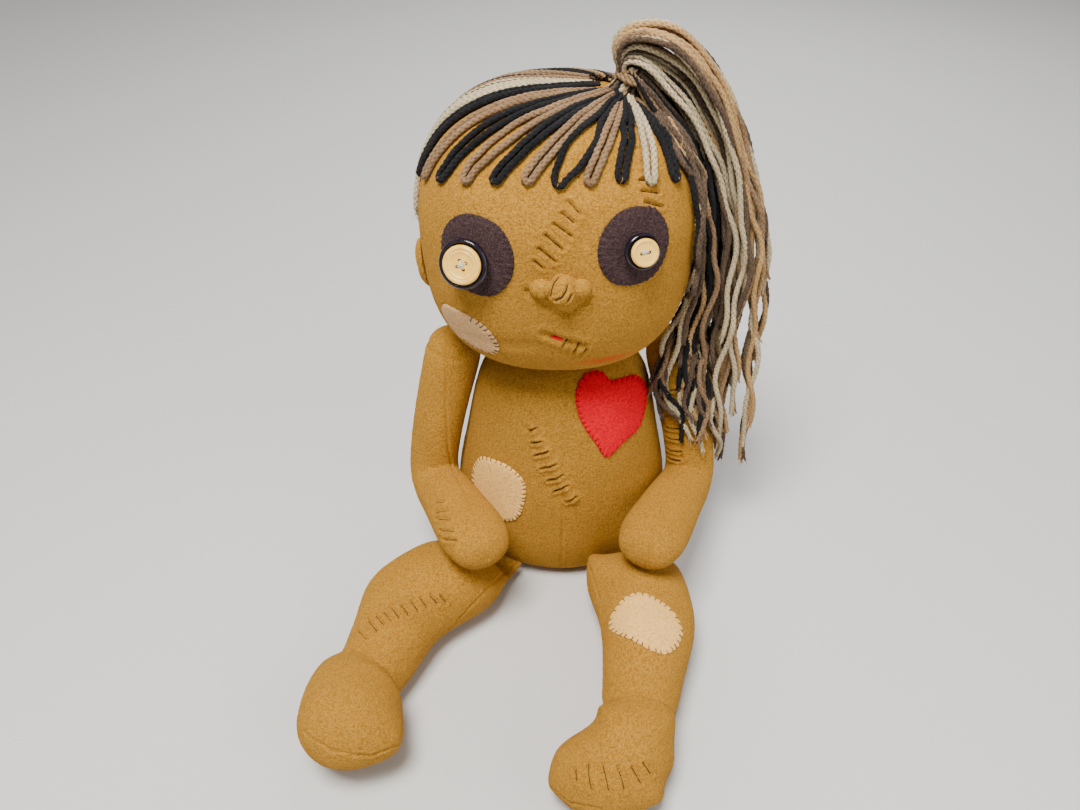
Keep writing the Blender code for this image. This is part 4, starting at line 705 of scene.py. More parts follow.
TOE_STITCHES = (
    (575, 768, 576, 782), (588, 764, 591, 790), (603, 765, 609, 792), (618, 767, 625, 791),
    (632, 767, 642, 784), (644, 763, 652, 775),
)
NOSE_LINES = (
    ((558, 277), (553, 283), (551, 290), (550, 297)),
    ((568, 285), (566, 292), (562, 298), (555, 301)),
    ((572, 295), (570, 299), (568, 302)),
)
NOSE_LOBES = (  # the photograph's pixel, half width, half height and depth
    (563, 291, 7.1, 9.2, 7.6), (541, 288, 5.3, 4.9, 5.0), (581, 288, 5.0, 5.0, 4.6),
)
NOSE_SUNK = 0.2 * MM
FRONT, BACK, TO_LEFT, TO_RIGHT = (0, 1, 0), (0, -1, 0), (1, 0, 0), (-1, 0, 0)
HEAD_SEAMS = (
    across(BACK, (-0.004, 0, 0.158), (-0.004, 0, 0.285)),
    across(TO_LEFT, (0, 0.004, 0.16), (0, 0.004, 0.28)),
    across(TO_RIGHT, (0, 0.004, 0.16), (0, 0.004, 0.28)),
)
TORSO_SEAMS = [across(way, (0, 0, 0.012), (0, 0, 0.142))
               for way in (FRONT, BACK, TO_LEFT, TO_RIGHT)]
# Creases: a line, its width, its depth (a ridge below 0) and its puffs
HEAD_CREASES = (
    (through((528, 292), (539, 302), (550, 309), (562, 314), (575, 311), (588, 299)),
     1.6 * MM, 1.1 * MM, 0.3 * MM),
    (through((544, 334), (552, 337), (562, 340), (572, 342), (584, 346)),
     1.7 * MM, 1.5 * MM, 0.6 * MM),
    (through((470, 335), (500, 345), (530, 346)), 4.0 * MM, 0.8 * MM, 0.0),
    (through((560, 205), (545, 225), (530, 250)), 3.0 * MM, -0.5 * MM, 0.0),
    (through((584, 207), (574, 240), (566, 262)), 3.0 * MM, -0.5 * MM, 0.0),
)
TORSO_CREASES = (
    (through((530, 426), (545, 450), (556, 475), (574, 500)), 3.0 * MM, -1.5 * MM, 0.0),
    (through((527, 427), (530, 431)), 2.0 * MM, 1.6 * MM, 0.0),
)
ARMS = {  # the seam and the stitches
    "right": (through((447, 340), (446, 400), (448, 447), (453, 470), (464, 489), (476, 520),
                      (488, 560)), RIGHT_WRIST_STITCHES),
    "left": (through((681, 388), (682, 430), (681, 458), (668, 495), (655, 530), (645, 568)),
             LEFT_ARM_STITCHES),
}
LEGS = {  # the seams along the leg, round the ankle and round the sole, and the stitches
    "right": ((through((516, 561), (470, 607), (431, 651), (404, 684)),
               through((340, 652), (369, 650), (390, 658), (404, 668)),
               through((302, 730), (310, 738), (332, 750), (352, 755), (371, 756),
                       (397, 746))), SHIN_STITCHES),
    "left": ((through((589, 566), (600, 600), (602, 640), (600, 680)),
              through((618, 700), (640, 698), (660, 704), (675, 717)),
              through((548, 785), (570, 803), (600, 809))), TOE_STITCHES),
}
# A pixel of the photograph, how far the felt near it moves in pixels, and the reach
LEG_NUDGES = {
    "right": ((384, 752, 9, 1, 20), (396, 732, 5, 0, 18)),
    "left": ((572, 722, 19, 0, 26), (550, 788, -7, 0, 18), (682, 742, -8, 0, 20),
             (650, 800, 9, 0, 20), (652, 808, 7, 3, 14), (590, 562, -3, -8, 12),
             (606, 702, -3, 0, 16)),
}
BLEND_REACH, BLEND_ROUNDS = 13 * MM, 110
EAR_FOLD = (Vector((0, 0.002, 0.009)), Vector((0, -0.003, 0.0)), Vector((0, 0.002, -0.009)))


def make_body(look):
    """All padded forms but the nose, with the tree of each for what lies on it."""
    trees = {"torso": stitched_felt("torso", "torso", 0.9 * MM, look, seams=TORSO_SEAMS,
                                    stitches=BELLY_STITCHES, creases=TORSO_CREASES)}
    stitched_felt("neck", "neck", 1.0 * MM, look)
    for side, (seam, stitches) in ARMS.items():
        arm = "arm_" + side
        trees[arm] = stitched_felt(arm, arm, 0.8 * MM, look, seams=(seam,), stitches=stitches)
    for side, (seams, stitches) in LEGS.items():
        trees["leg_" + side] = make_leg(side, look, seams, stitches)
    for side, way in (("right", TO_LEFT), ("left", TO_RIGHT)):
        middle = middle_of("ear_" + side)
        fold = across(way, *[middle + step for step in EAR_FOLD])
        stitched_felt("ear_" + side, "head", 0.6 * MM, look,
                      creases=((fold, 1.6 * MM, 1.5 * MM, 0.3 * MM),))
    trees["head"] = stitched_felt("head", "head", 0.98 * MM, look, "face", seams=HEAD_SEAMS,
                                  stitches=HEAD_STITCHES, creases=HEAD_CREASES,
                                  ladder=HEAD_LADDER)
    return trees


def make_leg(side, look, seams, stitches):
    """A leg and the foot sewn to it, whose felt runs on over the seam between them."""
    leg, foot = "leg_" + side, "foot_" + side
    mesh = rounded_copy((leg, foot), 0.85 * MM, grow=0.8 * MM)
    near_leg, near_foot = tree_of(NODES[leg].data), tree_of(NODES[foot].data)
    blend_over(mesh, near_leg, near_foot)
    nudge(mesh, LEG_NUDGES[side])
    tree, pairs = sew(mesh, look["mustard"], seams, stitches)
    for node, own, other in ((leg, near_leg, near_foot), (foot, near_foot, near_leg)):
        shell = bmesh.new()
        shell.from_mesh(mesh)
        away = [face for face in shell.faces
                if own.find_nearest(face.calc_center_median())[3]
                > other.find_nearest(face.calc_center_median())[3]]
        bmesh.ops.delete(shell, geom=away, context="FACES")
        edges = [edge for edge in shell.edges if edge.is_boundary]
        bmesh.ops.holes_fill(shell, edges=edges, sides=0)
        part = mesh.copy()
        part.name = node + "_felt"
        shell.to_mesh(part)
        shell.free()
        add_piece(node + "_felt", part, leg, "mustard_felt", node)
    felt_tree = tree_of(mesh)
    add_stitches(leg, tree, felt_tree, pairs, look["dark_thread"], leg)
    return felt_tree


def nudge(mesh, moves):
    """Moves parts of a form to where the photograph shows them, across its view."""
    places, _ = arrays_of(mesh)
    right, up = np.array(RIGHT), np.array(UPWARD)
    away = places - np.array(CAMERA_PLACE)
    depth = away @ np.array(AHEAD)
    px = PHOTO_WIDTH / 2 + FOCAL_PIXELS * away[:, 0] / depth
    py = PHOTO_HEIGHT / 2 - FOCAL_PIXELS * (away @ up) / depth
    lowest = places[:, 2].min()
    for at_x, at_y, aside, down, reach in moves:
        share = np.exp(-((px - at_x) ** 2 + (py - at_y) ** 2) / reach ** 2)
        size = (share * depth / FOCAL_PIXELS)[:, None]
        places = places + (right * aside - up * down) * size
    places[:, 2] = np.maximum(places[:, 2], lowest)
    move_to(mesh, places)


def blend_over(mesh, first, second):
    """Smooths a mesh over the seam between two forms, where both are near."""
    places, _ = arrays_of(mesh)
    gaps = [max(tree.find_nearest(Vector(place))[3] for tree in (first, second))
            for place in places]
    weight = np.maximum(0.0, 1 - np.array(gaps) / BLEND_REACH)
    weight = np.minimum(1, 1.6 * weight)[:, None] * 0.5
    edges = np.empty(len(mesh.edges) * 2, dtype=np.int64)
    mesh.edges.foreach_get("vertices", edges)
    a, b = edges.reshape(-1, 2).T
    degree = np.bincount(edges, minlength=len(places))[:, None]
    for _ in range(BLEND_ROUNDS):
        total = np.zeros_like(places)
        for axis in range(3):
            total[:, axis] = np.bincount(a, places[b, axis], len(places))
            total[:, axis] += np.bincount(b, places[a, axis], len(places))
        places = places + (total / degree - places) * weight
    move_to(mesh, places)


def make_nose(look, head):
    """The gathered ball of the nose and a nostril on each side, pulled in by stitches."""
    shell = bmesh.new()
    for px, py, wide, high, deep in NOSE_LOBES:
        place = seen(head, px, py)
        _, out, _, _ = head.find_nearest(place)
        out = (out + Vector((0, -1, 0))).normalized()
        up = (Vector((0, 0, 1)) - out * out.z).normalized()
        turn = Matrix((up.cross(out), up, out)).transposed().to_4x4()
        size = Matrix.Diagonal((wide * MM, high * MM, deep * MM, 1))
        bmesh.ops.create_icosphere(
            shell, subdivisions=4, radius=1,
            matrix=Matrix.Translation(place - out * NOSE_SUNK) @ turn @ size)
    mesh = remeshed(shell, "nose_felt", 0.45 * MM, 3)
    tree = tree_of(mesh)
    lines = [traced(tree, line) for line in NOSE_LINES]
    shape_felt(mesh, [(line, 0.65 * MM, 0.85 * MM, 0.25 * MM) for line in lines])
    mesh.materials.append(look["mustard"])
    mesh.shade_smooth()
    add_piece("nose_felt", mesh, "head", "mustard_felt", "nose")
    strands = Strands("nose")
    for line in lines:
        path = [on_surface(tree, point, -0.45 * MM) for point in line]
        strands.tube(resampled(path, 0.6 * MM), 0.22 * MM, look["dark_thread"],
                     sides=6, lobe_depth=0.1, pitch=2 * MM)
    strands.add("nose_stitches", "head", "mustard_felt")


# ---- Felt patches and mouth

PATCH_THICK = 1.3 * MM
PATCH_LIFT, PATCH_SUNK = 0.08 * MM, 0.25 * MM  # its top off the form, its underside in it
NICK, PULL_REACH = 0.35 * MM, 0.95 * MM  # how far a stitch cuts into the edge, how widely
PATCH_THREAD = 0.27 * MM
LEAST_SHARE = 0.02  # of the way out from the middle
EDGE_ROWS = (  # millimetres in from the edge, and the share of the thickness there
    (0.0, 0.35), (0.25, 0.80), (0.6, 0.97), (1.1, 1.0), (1.8, 1.02), (2.8, 1.03), (4.2, 1.03),
)
INNER_RINGS = 7
# Where patches on the head lie: shares of half its width and half its height
HEAD_SHARES = {"eye_patch_right": (-0.558, 0.181), "eye_patch_left": (0.486, 0.261),
               "cheek_patch": (-0.638, -0.493)}
TORSO_MIDDLES = {"heart_patch": (0.024, -0.2, 0.118), "belly_patch": (-0.037, -0.2, 0.068)}
EYE_SHARES = ((0.0, 1.0), (0.62, 0.84), (0.98, 0.28), (0.94, -0.36), (0.56, -0.88),
              (0.0, -1.0), (-0.62, -0.82), (-0.97, -0.24), (-0.92, 0.40), (-0.52, 0.86))
CHEEK_SHARES = ((-0.90, 0.86), (-0.30, 1.0), (0.35, 0.92), (0.82, 0.56), (1.02, -0.10),
                (0.96, -0.84), (0.36, -1.0), (-0.28, -0.82), (-0.80, -0.38), (-1.08, 0.30))
# Outlines of the other patches in the photograph's pixels
HEART = ((610, 379), (604, 373), (595, 370), (583, 375), (576, 390), (576, 407), (583, 426),
         (595, 443), (606, 457), (622, 443), (637, 429), (644, 412), (646, 393), (643, 379),
         (634, 374), (622, 377))
BELLY = ((483, 456), (477, 460), (473, 469), (473, 482), (474, 496), (481, 508), (490, 516),
         (502, 520), (514, 520), (521, 514), (525, 501), (526, 486), (520, 475), (509, 466),
         (497, 460))
KNEE = ((636, 593), (625, 598), (616, 608), (610, 621), (611, 631), (620, 636), (630, 640),
        (641, 646), (653, 652), (665, 655), (675, 650), (680, 642), (682, 633), (679, 622),
        (671, 610), (660, 601), (648, 595))
MOUTH = ((551, 336), (555, 337), (559, 338.5), (563, 340))
MOUTH_SIDES = 10


def shares_outline(shares, width, height):
    return [Vector((x * width / 2, y * height / 2, 0)) for x, y in shares]


ALL_ROUND = (-180, 180)
PATCHES = (  # piece, node, form, outline, felt, thread, slot, spacing, bite and sewn angles
    ("eye_patch_right_felt", "eye_patch_right", "head",
     shares_outline(EYE_SHARES, 0.0375, 0.039), "purple", "purple_thread", "purple_felt",
     3.3 * MM, 1.9 * MM, ALL_ROUND),
    ("eye_patch_left_felt", "eye_patch_left", "head",
     shares_outline(EYE_SHARES, 0.035, 0.037), "purple", "purple_thread", "purple_felt",
     3.3 * MM, 1.9 * MM, ALL_ROUND),
    ("cheek_patch_felt", "cheek_patch", "head",
     shares_outline(CHEEK_SHARES, 0.030, 0.0245), "cheek", "brown_thread", "tan_felt",
     3.2 * MM, 2.3 * MM, (-120, 75)),
    ("heart_felt", "heart_patch", "torso", HEART, "red", "red_thread", "red_felt",
     3.4 * MM, 2.2 * MM, ALL_ROUND),
    ("belly_patch_felt", "belly_patch", "torso", BELLY, "tan", "brown_thread", "tan_felt",
     3.0 * MM, 1.7 * MM, ALL_ROUND),
    ("knee_patch_felt", "knee_patch", "leg_left", KNEE, "tan", "brown_thread", "tan_felt",
     3.6 * MM, 2.0 * MM, ALL_ROUND),
)


def seen_outline(tree, pixels, middle, right, up):
    """An outline in a patch's plane from the photograph's pixels."""
    points = []
    for px, py in pixels:
        place = seen(tree, px, py)
        if place is None:
            way = sight(px, py)
            far = (middle - CAMERA_PLACE).dot(way)
            place, _, _, _ = tree.find_nearest(CAMERA_PLACE + way * far)
        points.append(Vector(((place - middle).dot(right), (place - middle).dot(up), 0)))
    return points


def patch_place(node):
    """Middle, way to the right and way up of a CAD patch, in the plane it was cut to."""
    if node in TORSO_MIDDLES:
        return Vector(TORSO_MIDDLES[node]), Vector((1, 0, 0)), Vector((0, 0, 1))
    if node == "knee_patch":
        return middle_of(node) + Vector((0, 0, 0.05)), Vector((1, 0, 0)), Vector((0, 1, 0))
    low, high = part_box("head")
    aside, above = HEAD_SHARES[node]
    start = (low + high) / 2 + Vector((aside * (high - low).x / 2, -0.2,
                                       above * (high - low).z / 2))
    middle, out, _, _ = tree_of(NODES["head"].data).ray_cast(start, Vector((0, 1, 0)))
    up = (Vector((0, 0, 1)) - out * out.z).normalized()
    return middle + out * 0.02, up.cross(out), up


def felt_patch(seed, tree, look, name, node, body, outline, material, thread, slot, spacing,
               bite, sewn):
    """A patch of felt whipped down round its edge, which each stitch nicks and pulls in."""
    middle, right, up = patch_place(node)
    out = right.cross(up)
    points = (outline if isinstance(outline[0], Vector)
              else seen_outline(tree, outline, middle, right, up))
    centre = sum(points, Vector((0, 0, 0))) / len(points)
    middle = middle + right * centre.x + up * centre.y
    edge, length = closed_curve([point - centre for point in points], 0.55 * MM)
    count = len(edge)
    number = max(6, round(length / spacing))
    chance = random.Random(seed)
    places = [(k + chance.uniform(-0.16, 0.16)) * length / number for k in range(number)]
    stitches = [(at, edge[round(at / length * count) % count]) for at in places]
    stitches = [(at, spot) for at, spot in stitches
                if sewn[0] <= math.degrees(math.atan2(spot.y, spot.x)) <= sewn[1]]

    def pull_at(s):
        """How far the nearest stitch pulls the edge in, from 0 to 1."""
        gap = min(abs((s - at + length / 2) % length - length / 2) for at, _ in stitches)
        return math.exp(-(gap / PULL_REACH) ** 2)

    def on_form(x, y):
        start = middle + right * x + up * y
        place, normal, _, _ = tree.ray_cast(start, -out)
        if place is None:
            place, normal, _, _ = tree.find_nearest(start)
        return place, normal

    pulls = [pull_at(length * i / count) for i in range(count)]
    vertices = []

    def lay(shares, rises):
        """A ring of vertices: their share of the way out to the edge and their height."""
        first = len(vertices)
        for point, share, rise in zip(edge, shares, rises):
            place, normal = on_form(point.x * share, point.y * share)
            vertices.append(place + normal * rise)
        return range(first, len(vertices))

    def inwards(insets):
        return [max(LEAST_SHARE, 1 - inset / point.length)
                for inset, point in zip(insets, edge)]

    rows = []
    for inset, rise in EDGE_ROWS:
        dips = [1 - 0.55 * pull * math.exp(-((inset - 0.8) / 1.3) ** 2) for pull in pulls]
        rows.append(lay(
            inwards([inset * MM + NICK * pull * math.exp(-inset / 1.5) for pull in pulls]),
            [PATCH_THICK * rise * dip + PATCH_LIFT for dip in dips]))
    last_inset, last_rise = EDGE_ROWS[-1]
    inner = inwards([last_inset * MM] * count)
    full = [PATCH_THICK * last_rise + PATCH_LIFT] * count
    sunk = [-PATCH_SUNK] * count
    for r in range(1, INNER_RINGS):
        rows.append(lay([share * (1 - r / INNER_RINGS) for share in inner], full))
    top, = lay([0], full)
    base = lay(inwards([0.15 * MM + NICK * pull for pull in pulls]), sunk)
    under = lay([0.5] * count, sunk)
    bottom, = lay([0], sunk)
    around = [(i, (i + 1) % count) for i in range(count)]
    faces = [(lower[i], lower[n], upper[n], upper[i])
             for lower, upper in zip([base, *rows], rows) for i, n in around]
    for i, n in around:
        faces += [(rows[-1][i], rows[-1][n], top), (base[n], base[i], under[i], under[n]),
                  (under[n], under[i], bottom)]
    mesh = bpy.data.meshes.new(name)
    mesh.from_pydata(vertices, [], faces)
    mesh.materials.append(look[material])
    mesh.shade_smooth()
    patch = add_piece(name, mesh, body, slot, node)
    patch_tree = tree_of(mesh)
    strands = Strands(name)
    for _, spot in stitches:
        path = []
        for k in range(7):
            share = k / 6
            inset = bite * (1 - share) + 0.25 * MM * share
            lean = chance.uniform(-0.1, 0.1) * MM
            x, y = spot.x * (1 - inset / spot.length), spot.y * (1 - inset / spot.length)
            place, normal = on_form(x + lean, y)
            upper, _, _, _ = patch_tree.ray_cast(place + normal * 0.01, -normal)
            level = 0.0 if upper is None else max((upper - place).dot(normal), 0.0)
            dive = 1.3 * abs(2 * share - 1) ** 5
            path.append(place + normal * (level + PATCH_THREAD * (0.45 - dive)))
        strands.tube(path, PATCH_THREAD, look[thread], sides=6, lobe_depth=0.12,
                     pitch=2.0 * MM)
    sewing = strands.add(name + "_stitches", body, slot)


def make_mouth(look, tree):
    """The little red felt that shows in the crease of the mouth."""
    path = resampled(traced(tree, MOUTH), 0.5 * MM)
    count = len(path)
    vertices = []
    for i, place in enumerate(path):
        _, normal, _, _ = tree.find_nearest(place)
        tangent = (path[min(i + 1, count - 1)] - path[max(i - 1, 0)]).normalized()
        aside = tangent.cross(normal).normalized()
        swell = math.sin(math.pi * (i + 0.6) / (count + 0.2)) ** 0.6
        for k in range(MOUTH_SIDES):
            turn = TURN * k / MOUTH_SIDES
            vertices.append(place + aside * (1.1 * MM * swell * math.cos(turn))
                            + normal * (swell * (0.7 * math.sin(turn) - 0.1) * MM))
    mesh = closed_tube("mouth_felt", vertices, MOUTH_SIDES, look["red"])
    mesh.shade_smooth()
    add_piece("mouth_felt", mesh, "head", "red_felt", "mouth")


# ---- Buttons

BLACK_PROFILE = (  # radius and height, as shares of the button's own
    (0.0, 0.0), (0.90, 0.0), (0.97, 0.12), (1.0, 0.38), (0.99, 0.66), (0.955, 0.90),
    (0.905, 1.0), (0.855, 0.95), (0.81, 0.80), (0.775, 0.70), (0.70, 0.67), (0.0, 0.66),
)
CREAM_FOUR_PROFILE = (
    (0.0, 0.0), (0.88, 0.0), (0.96, 0.14), (1.0, 0.42), (0.985, 0.72), (0.93, 0.95),
    (0.86, 1.0), (0.79, 0.94), (0.755, 0.84), (0.73, 0.83), (0.70, 0.90), (0.66, 0.88),
    (0.58, 0.74), (0.48, 0.68), (0.0, 0.66),
)
CREAM_TWO_PROFILE = (
    (0.0, 0.0), (0.88, 0.0), (0.96, 0.14), (1.0, 0.45), (0.985, 0.75), (0.93, 0.95),
    (0.86, 1.0), (0.78, 0.95), (0.70, 0.86), (0.60, 0.83), (0.0, 0.81),
)
BUTTON_SIDES = 72
HOLE_RADIUS = 0.85 * MM
THREAD_RADIUS, THREAD_STEPS = 0.34 * MM, 8
# For each run of thread: the holes that it joins, and how far aside it lies
FOUR_RUNS = ((0, 2, -0.5), (1, 3, -0.5), (0, 2, 0.5), (1, 3, 0.5))
TWO_RUNS = ((0, 1, 0), (0, 1, 1), (0, 1, 2))


def button_frame(node):
    """Middle of the back, way out, radius and thickness of a CAD button."""
    points = np.array([list(vertex.co) for vertex in NODES[node].data.vertices])
    middle = points.mean(0)
    axis = Vector(np.linalg.svd(points - middle)[2][2])
    if axis.y > 0:
        axis = -axis
    heights = (points - middle) @ np.array(axis)
    level = points - middle - heights[:, None] * np.array(axis)
    rim = np.linalg.norm(level, axis=1).max()
    centre = middle + np.array(axis) * heights.min()
    return Vector(centre), axis, rim, heights.max() - heights.min()


def make_button(node, profile, look, slot, holes=0, spin=0, hole_reach=0):
    """A button, drilled. Gives its place, its turn, its holes and its floor's height."""
    name = node + "_detail"
    centre, axis, radius, thick = button_frame(node)
    up = (Vector((0, 0, 1)) - axis * axis.z).normalized()
    turn = Matrix((up.cross(axis), up, axis)).transposed()
    curve = resampled([Vector((r * radius, 0, h * thick)) for r, h in profile[1:-1]],
                      0.35 * MM)
    vertices = []
    for point in curve:
        for k in range(BUTTON_SIDES):
            angle = TURN * k / BUTTON_SIDES
            vertices.append(centre + turn @ Vector(
                (point.x * math.sin(angle), point.x * math.cos(angle), point.z)))
    button = linked(name, closed_tube(name, vertices, BUTTON_SIDES, look[slot]))
    angles = [math.radians(spin) + TURN * k / holes for k in range(holes)]
    spots = [Vector((math.cos(angle), math.sin(angle), 0)) * hole_reach for angle in angles]
    cutters = []
    for spot in spots:
        drill = bmesh.new()
        bmesh.ops.create_cone(drill, cap_ends=True, segments=24, radius1=HOLE_RADIUS,
                              radius2=HOLE_RADIUS, depth=thick * 4)
        cutter = linked(name + "_drill", mesh_from(drill, name + "_drill"))
        cutter.matrix_world = Matrix.Translation(centre + turn @ spot) @ turn.to_4x4()
        cutters.append(cutter)
        add_modifier(button, "BOOLEAN", operation="DIFFERENCE", solver="EXACT", object=cutter)
    drilled = evaluated_mesh(button, name)
    for obj in cutters + [button]:
        bpy.data.objects.remove(obj)
    drilled.shade_smooth()
    drilled.set_sharp_from_angle(angle=math.radians(38))
    add_piece(name, drilled, "head", slot, node)
    return centre, turn, spots, profile[-1][1] * thick


def make_buttons(look):
    for side in ("right", "left"):
        make_button("black_button_" + side, BLACK_PROFILE, look, "black_plastic")
    four = make_button("cream_button_right", CREAM_FOUR_PROFILE, look, "cream_plastic", 4, 28,
                       2.2 * MM)
    two = make_button("cream_button_left", CREAM_TWO_PROFILE, look, "cream_plastic", 2, 4,
                      1.75 * MM)
    for side, (centre, turn, spots, level), runs in (("right", four, FOUR_RUNS),
                                                     ("left", two, TWO_RUNS)):
        strands = Strands("button_thread_" + side)
        for k, (a, b, shift) in enumerate(runs):
            start, end = spots[a], spots[b]
            aside = (end - start).normalized().cross(Vector((0, 0, 1))) * shift * 0.42 * MM
            path = []
            for step in range(THREAD_STEPS + 1):
                share = step / THREAD_STEPS
                arch = math.sin(math.pi * share)
                point = start.lerp(end, share) + aside * (0.35 + 0.65 * arch)
                rise = level + (0.75 * arch ** 0.6 - 0.55) * MM + 0.28 * MM * (k % 2) * arch
                path.append(centre + turn @ Vector((point.x, point.y, rise)))
            strands.tube(path, THREAD_RADIUS, look["white_thread"], sides=8, lobe_depth=0.14,
                         pitch=1.8 * MM)
        strands.add("button_thread_" + side, "head", "cream_plastic")


# ---- Hair

STRAND, TAIL_STRAND = 1.45 * MM, 1.32 * MM  # radii
STEP = 1.5 * MM
FRINGE_COLOURS = "cream black tan black tan black tan black tan black cream black tan".split()
FRINGE_OPEN = {8: 2.1, 5: 1.35, 11: 1.15, 4: 1.3}
FRINGE_ROWS = 16
BACK_COLOURS = "brown black tan brown cream black gold brown tan black".split()
BACK_COUNT, BACK_ROWS, BACK_FROM, BACK_TO = 74, 18, 104, 268
SIDE_FROM = 65
SIDE_COLOURS = "tan black tan cream black cream cream cream".split()
KNOT_COLOURS = "black cream tan black brown black tan cream black gold black brown".split()
KNOT_COUNT = 20
KNOT_PROFILE = (  # how far from the knot's middle, and how high, in millimetres
    (7.5, 0.5), (6.4, 1.6), (5.6, 3.4), (4.9, 6.2), (4.3, 9.2), (4.6, 12.2), (4.6, 15.0),
    (3.2, 17.0),
)
TIE_TURNS, TIE_STEPS = 2.6, 16
LOCKS = {  # row from front to back, column from the head outwards, length, slot, colours
    "ponytail_front_inner": (-1, -1, 0.86, "cream_yarn",
                             "black brown cream black gold brown black tan cream brown"),
    "ponytail_front_outer": (-1, 1, 0.90, "black_yarn",
                             "cream gold brown cream tan gold cream brown gold tan"),
    "ponytail_middle_inner": (0, -1, 0.88, "tan_yarn", "brown black gold tan cream black"),
    "ponytail_middle_outer": (0, 1, 0.96, "brown_yarn", "brown cream gold tan brown cream"),
    "ponytail_back_inner": (1, -1, 0.84, "cream_yarn", "black brown tan brown"),
    "ponytail_back_outer": (1, 1, 0.95, "black_yarn",
                            "brown tan cream gold brown black tan"),
}
PER_LOCK = 15
TAIL_STEPS = 34
TAIL_GAP = 1.7 * MM
# The two sides of the ponytail in the photograph's pixels, from the wrap to the ends
TAIL_INNER = ((629, 74), (631, 68), (636, 79), (645, 103), (658, 133), (674, 160), (687, 186),
              (691, 225), (689, 270), (681, 306), (667, 340), (663, 374), (674, 416),
              (698, 466))
TAIL_OUTER = ((619, 70), (614, 50), (618, 35), (631, 25), (650, 23), (673, 29), (700, 50),
              (722, 83), (739, 122), (752, 167), (760, 203), (764, 243), (761, 285),
              (756, 330), (751, 375), (745, 420), (737, 472))
# Its half depth in millimetres at shares of its length
TAIL_DEPTH = ((0.0, 4.5), (0.05, 7), (0.15, 12), (0.35, 18), (0.75, 19), (1.0, 15))


def hair_base(tree):
    """The knot's middle at its foot on the head, and the way it stands."""
    foot, out, _, _ = tree.find_nearest(middle_of("hair_knot"))
    return foot, out


def over_head(tree, start, end, share, height):
    """A place above the head on the shortest way over it between two directions."""
    way = start.slerp(end, share)
    place, normal, _, _ = tree.ray_cast(middle_of("head") + way * 0.2, -way)
    return place + normal * height


def rest_height(k, share, close):
    """How high a strand lies: they pile on each other where they gather at the knot."""
    return STRAND + 0.15 * MM + close * (k % 3) * max(0, 1 - share / 0.42) ** 2


def fringe_radius(share):
    return STRAND * (0.55 + 0.45 * min(1, min(share, 1 - share) / 0.16))


def make_fringe(look, tree):
    """Thirteen loops from the knot to the forehead, each sewn down at its bend."""
    middle = middle_of("head")
    foot, _ = hair_base(tree)
    start = (foot - middle).normalized()
    for number, shade in enumerate(FRINGE_COLOURS, 1):
        node = f"fringe_loop_{number:02d}"
        points = [vertex.co for vertex in NODES[node].data.vertices]
        points.sort(key=lambda p: -(p - foot).length)
        tip = sum(points[:8], Vector()) / 8
        end = (tip - middle).normalized()
        aside = start.cross(end).normalized()
        open_by = FRINGE_OPEN.get(number, 1.0)
        runs = ([], [])
        for run, way in zip(runs, (-1, 1)):
            for r in range(FRINGE_ROWS + 1):
                share = 0.10 + 0.86 * r / FRINGE_ROWS
                half = (0.7 + 1.15 * min(1, share / 0.6)) * MM
                belly = math.sin(math.pi * min(1, max(0, (share - 0.45) / 0.55)))
                half += (open_by - 1) * 3.0 * MM * belly
                place = over_head(tree, start, end, share,
                                  rest_height(number, share, 1.9 * MM))
                run.append(place + aside * (way * half))
        gap, centre = (runs[1][-1] - runs[0][-1]) / 2, (runs[1][-1] + runs[0][-1]) / 2
        forward = (runs[0][-1] - runs[0][-2]).normalized()
        bend = []
        for k in range(1, 6):
            angle = math.pi * k / 6
            bend.append(centre - gap * math.cos(angle)
                        + forward * (gap.length * 1.25 * math.sin(angle)))
        path = resampled(runs[0] + bend + runs[1][::-1], STEP)
        strands = Strands(node)
        strands.tube([clear_of(tree, point, STRAND * 0.9) for point in path], fringe_radius,
                     look[shade + "_yarn"])
        stitch = []
        for k in range(6):
            share = 1 - k / 5
            spot = bend[2] + forward * ((1.0 - 2.6 * share) * MM)
            top = 2.25 * STRAND * math.sin(math.pi * (0.12 + 0.80 * share))
            stitch.append(on_surface(tree, spot, top))
        strands.tube(resampled(stitch, 0.5 * MM), 0.2 * MM, look["copper_thread"],
                     sides=6, lobe_depth=0.1, pitch=2 * MM)
        strands.add(f"fringe_yarn_{number:02d}", "head", shade + "_yarn", node)


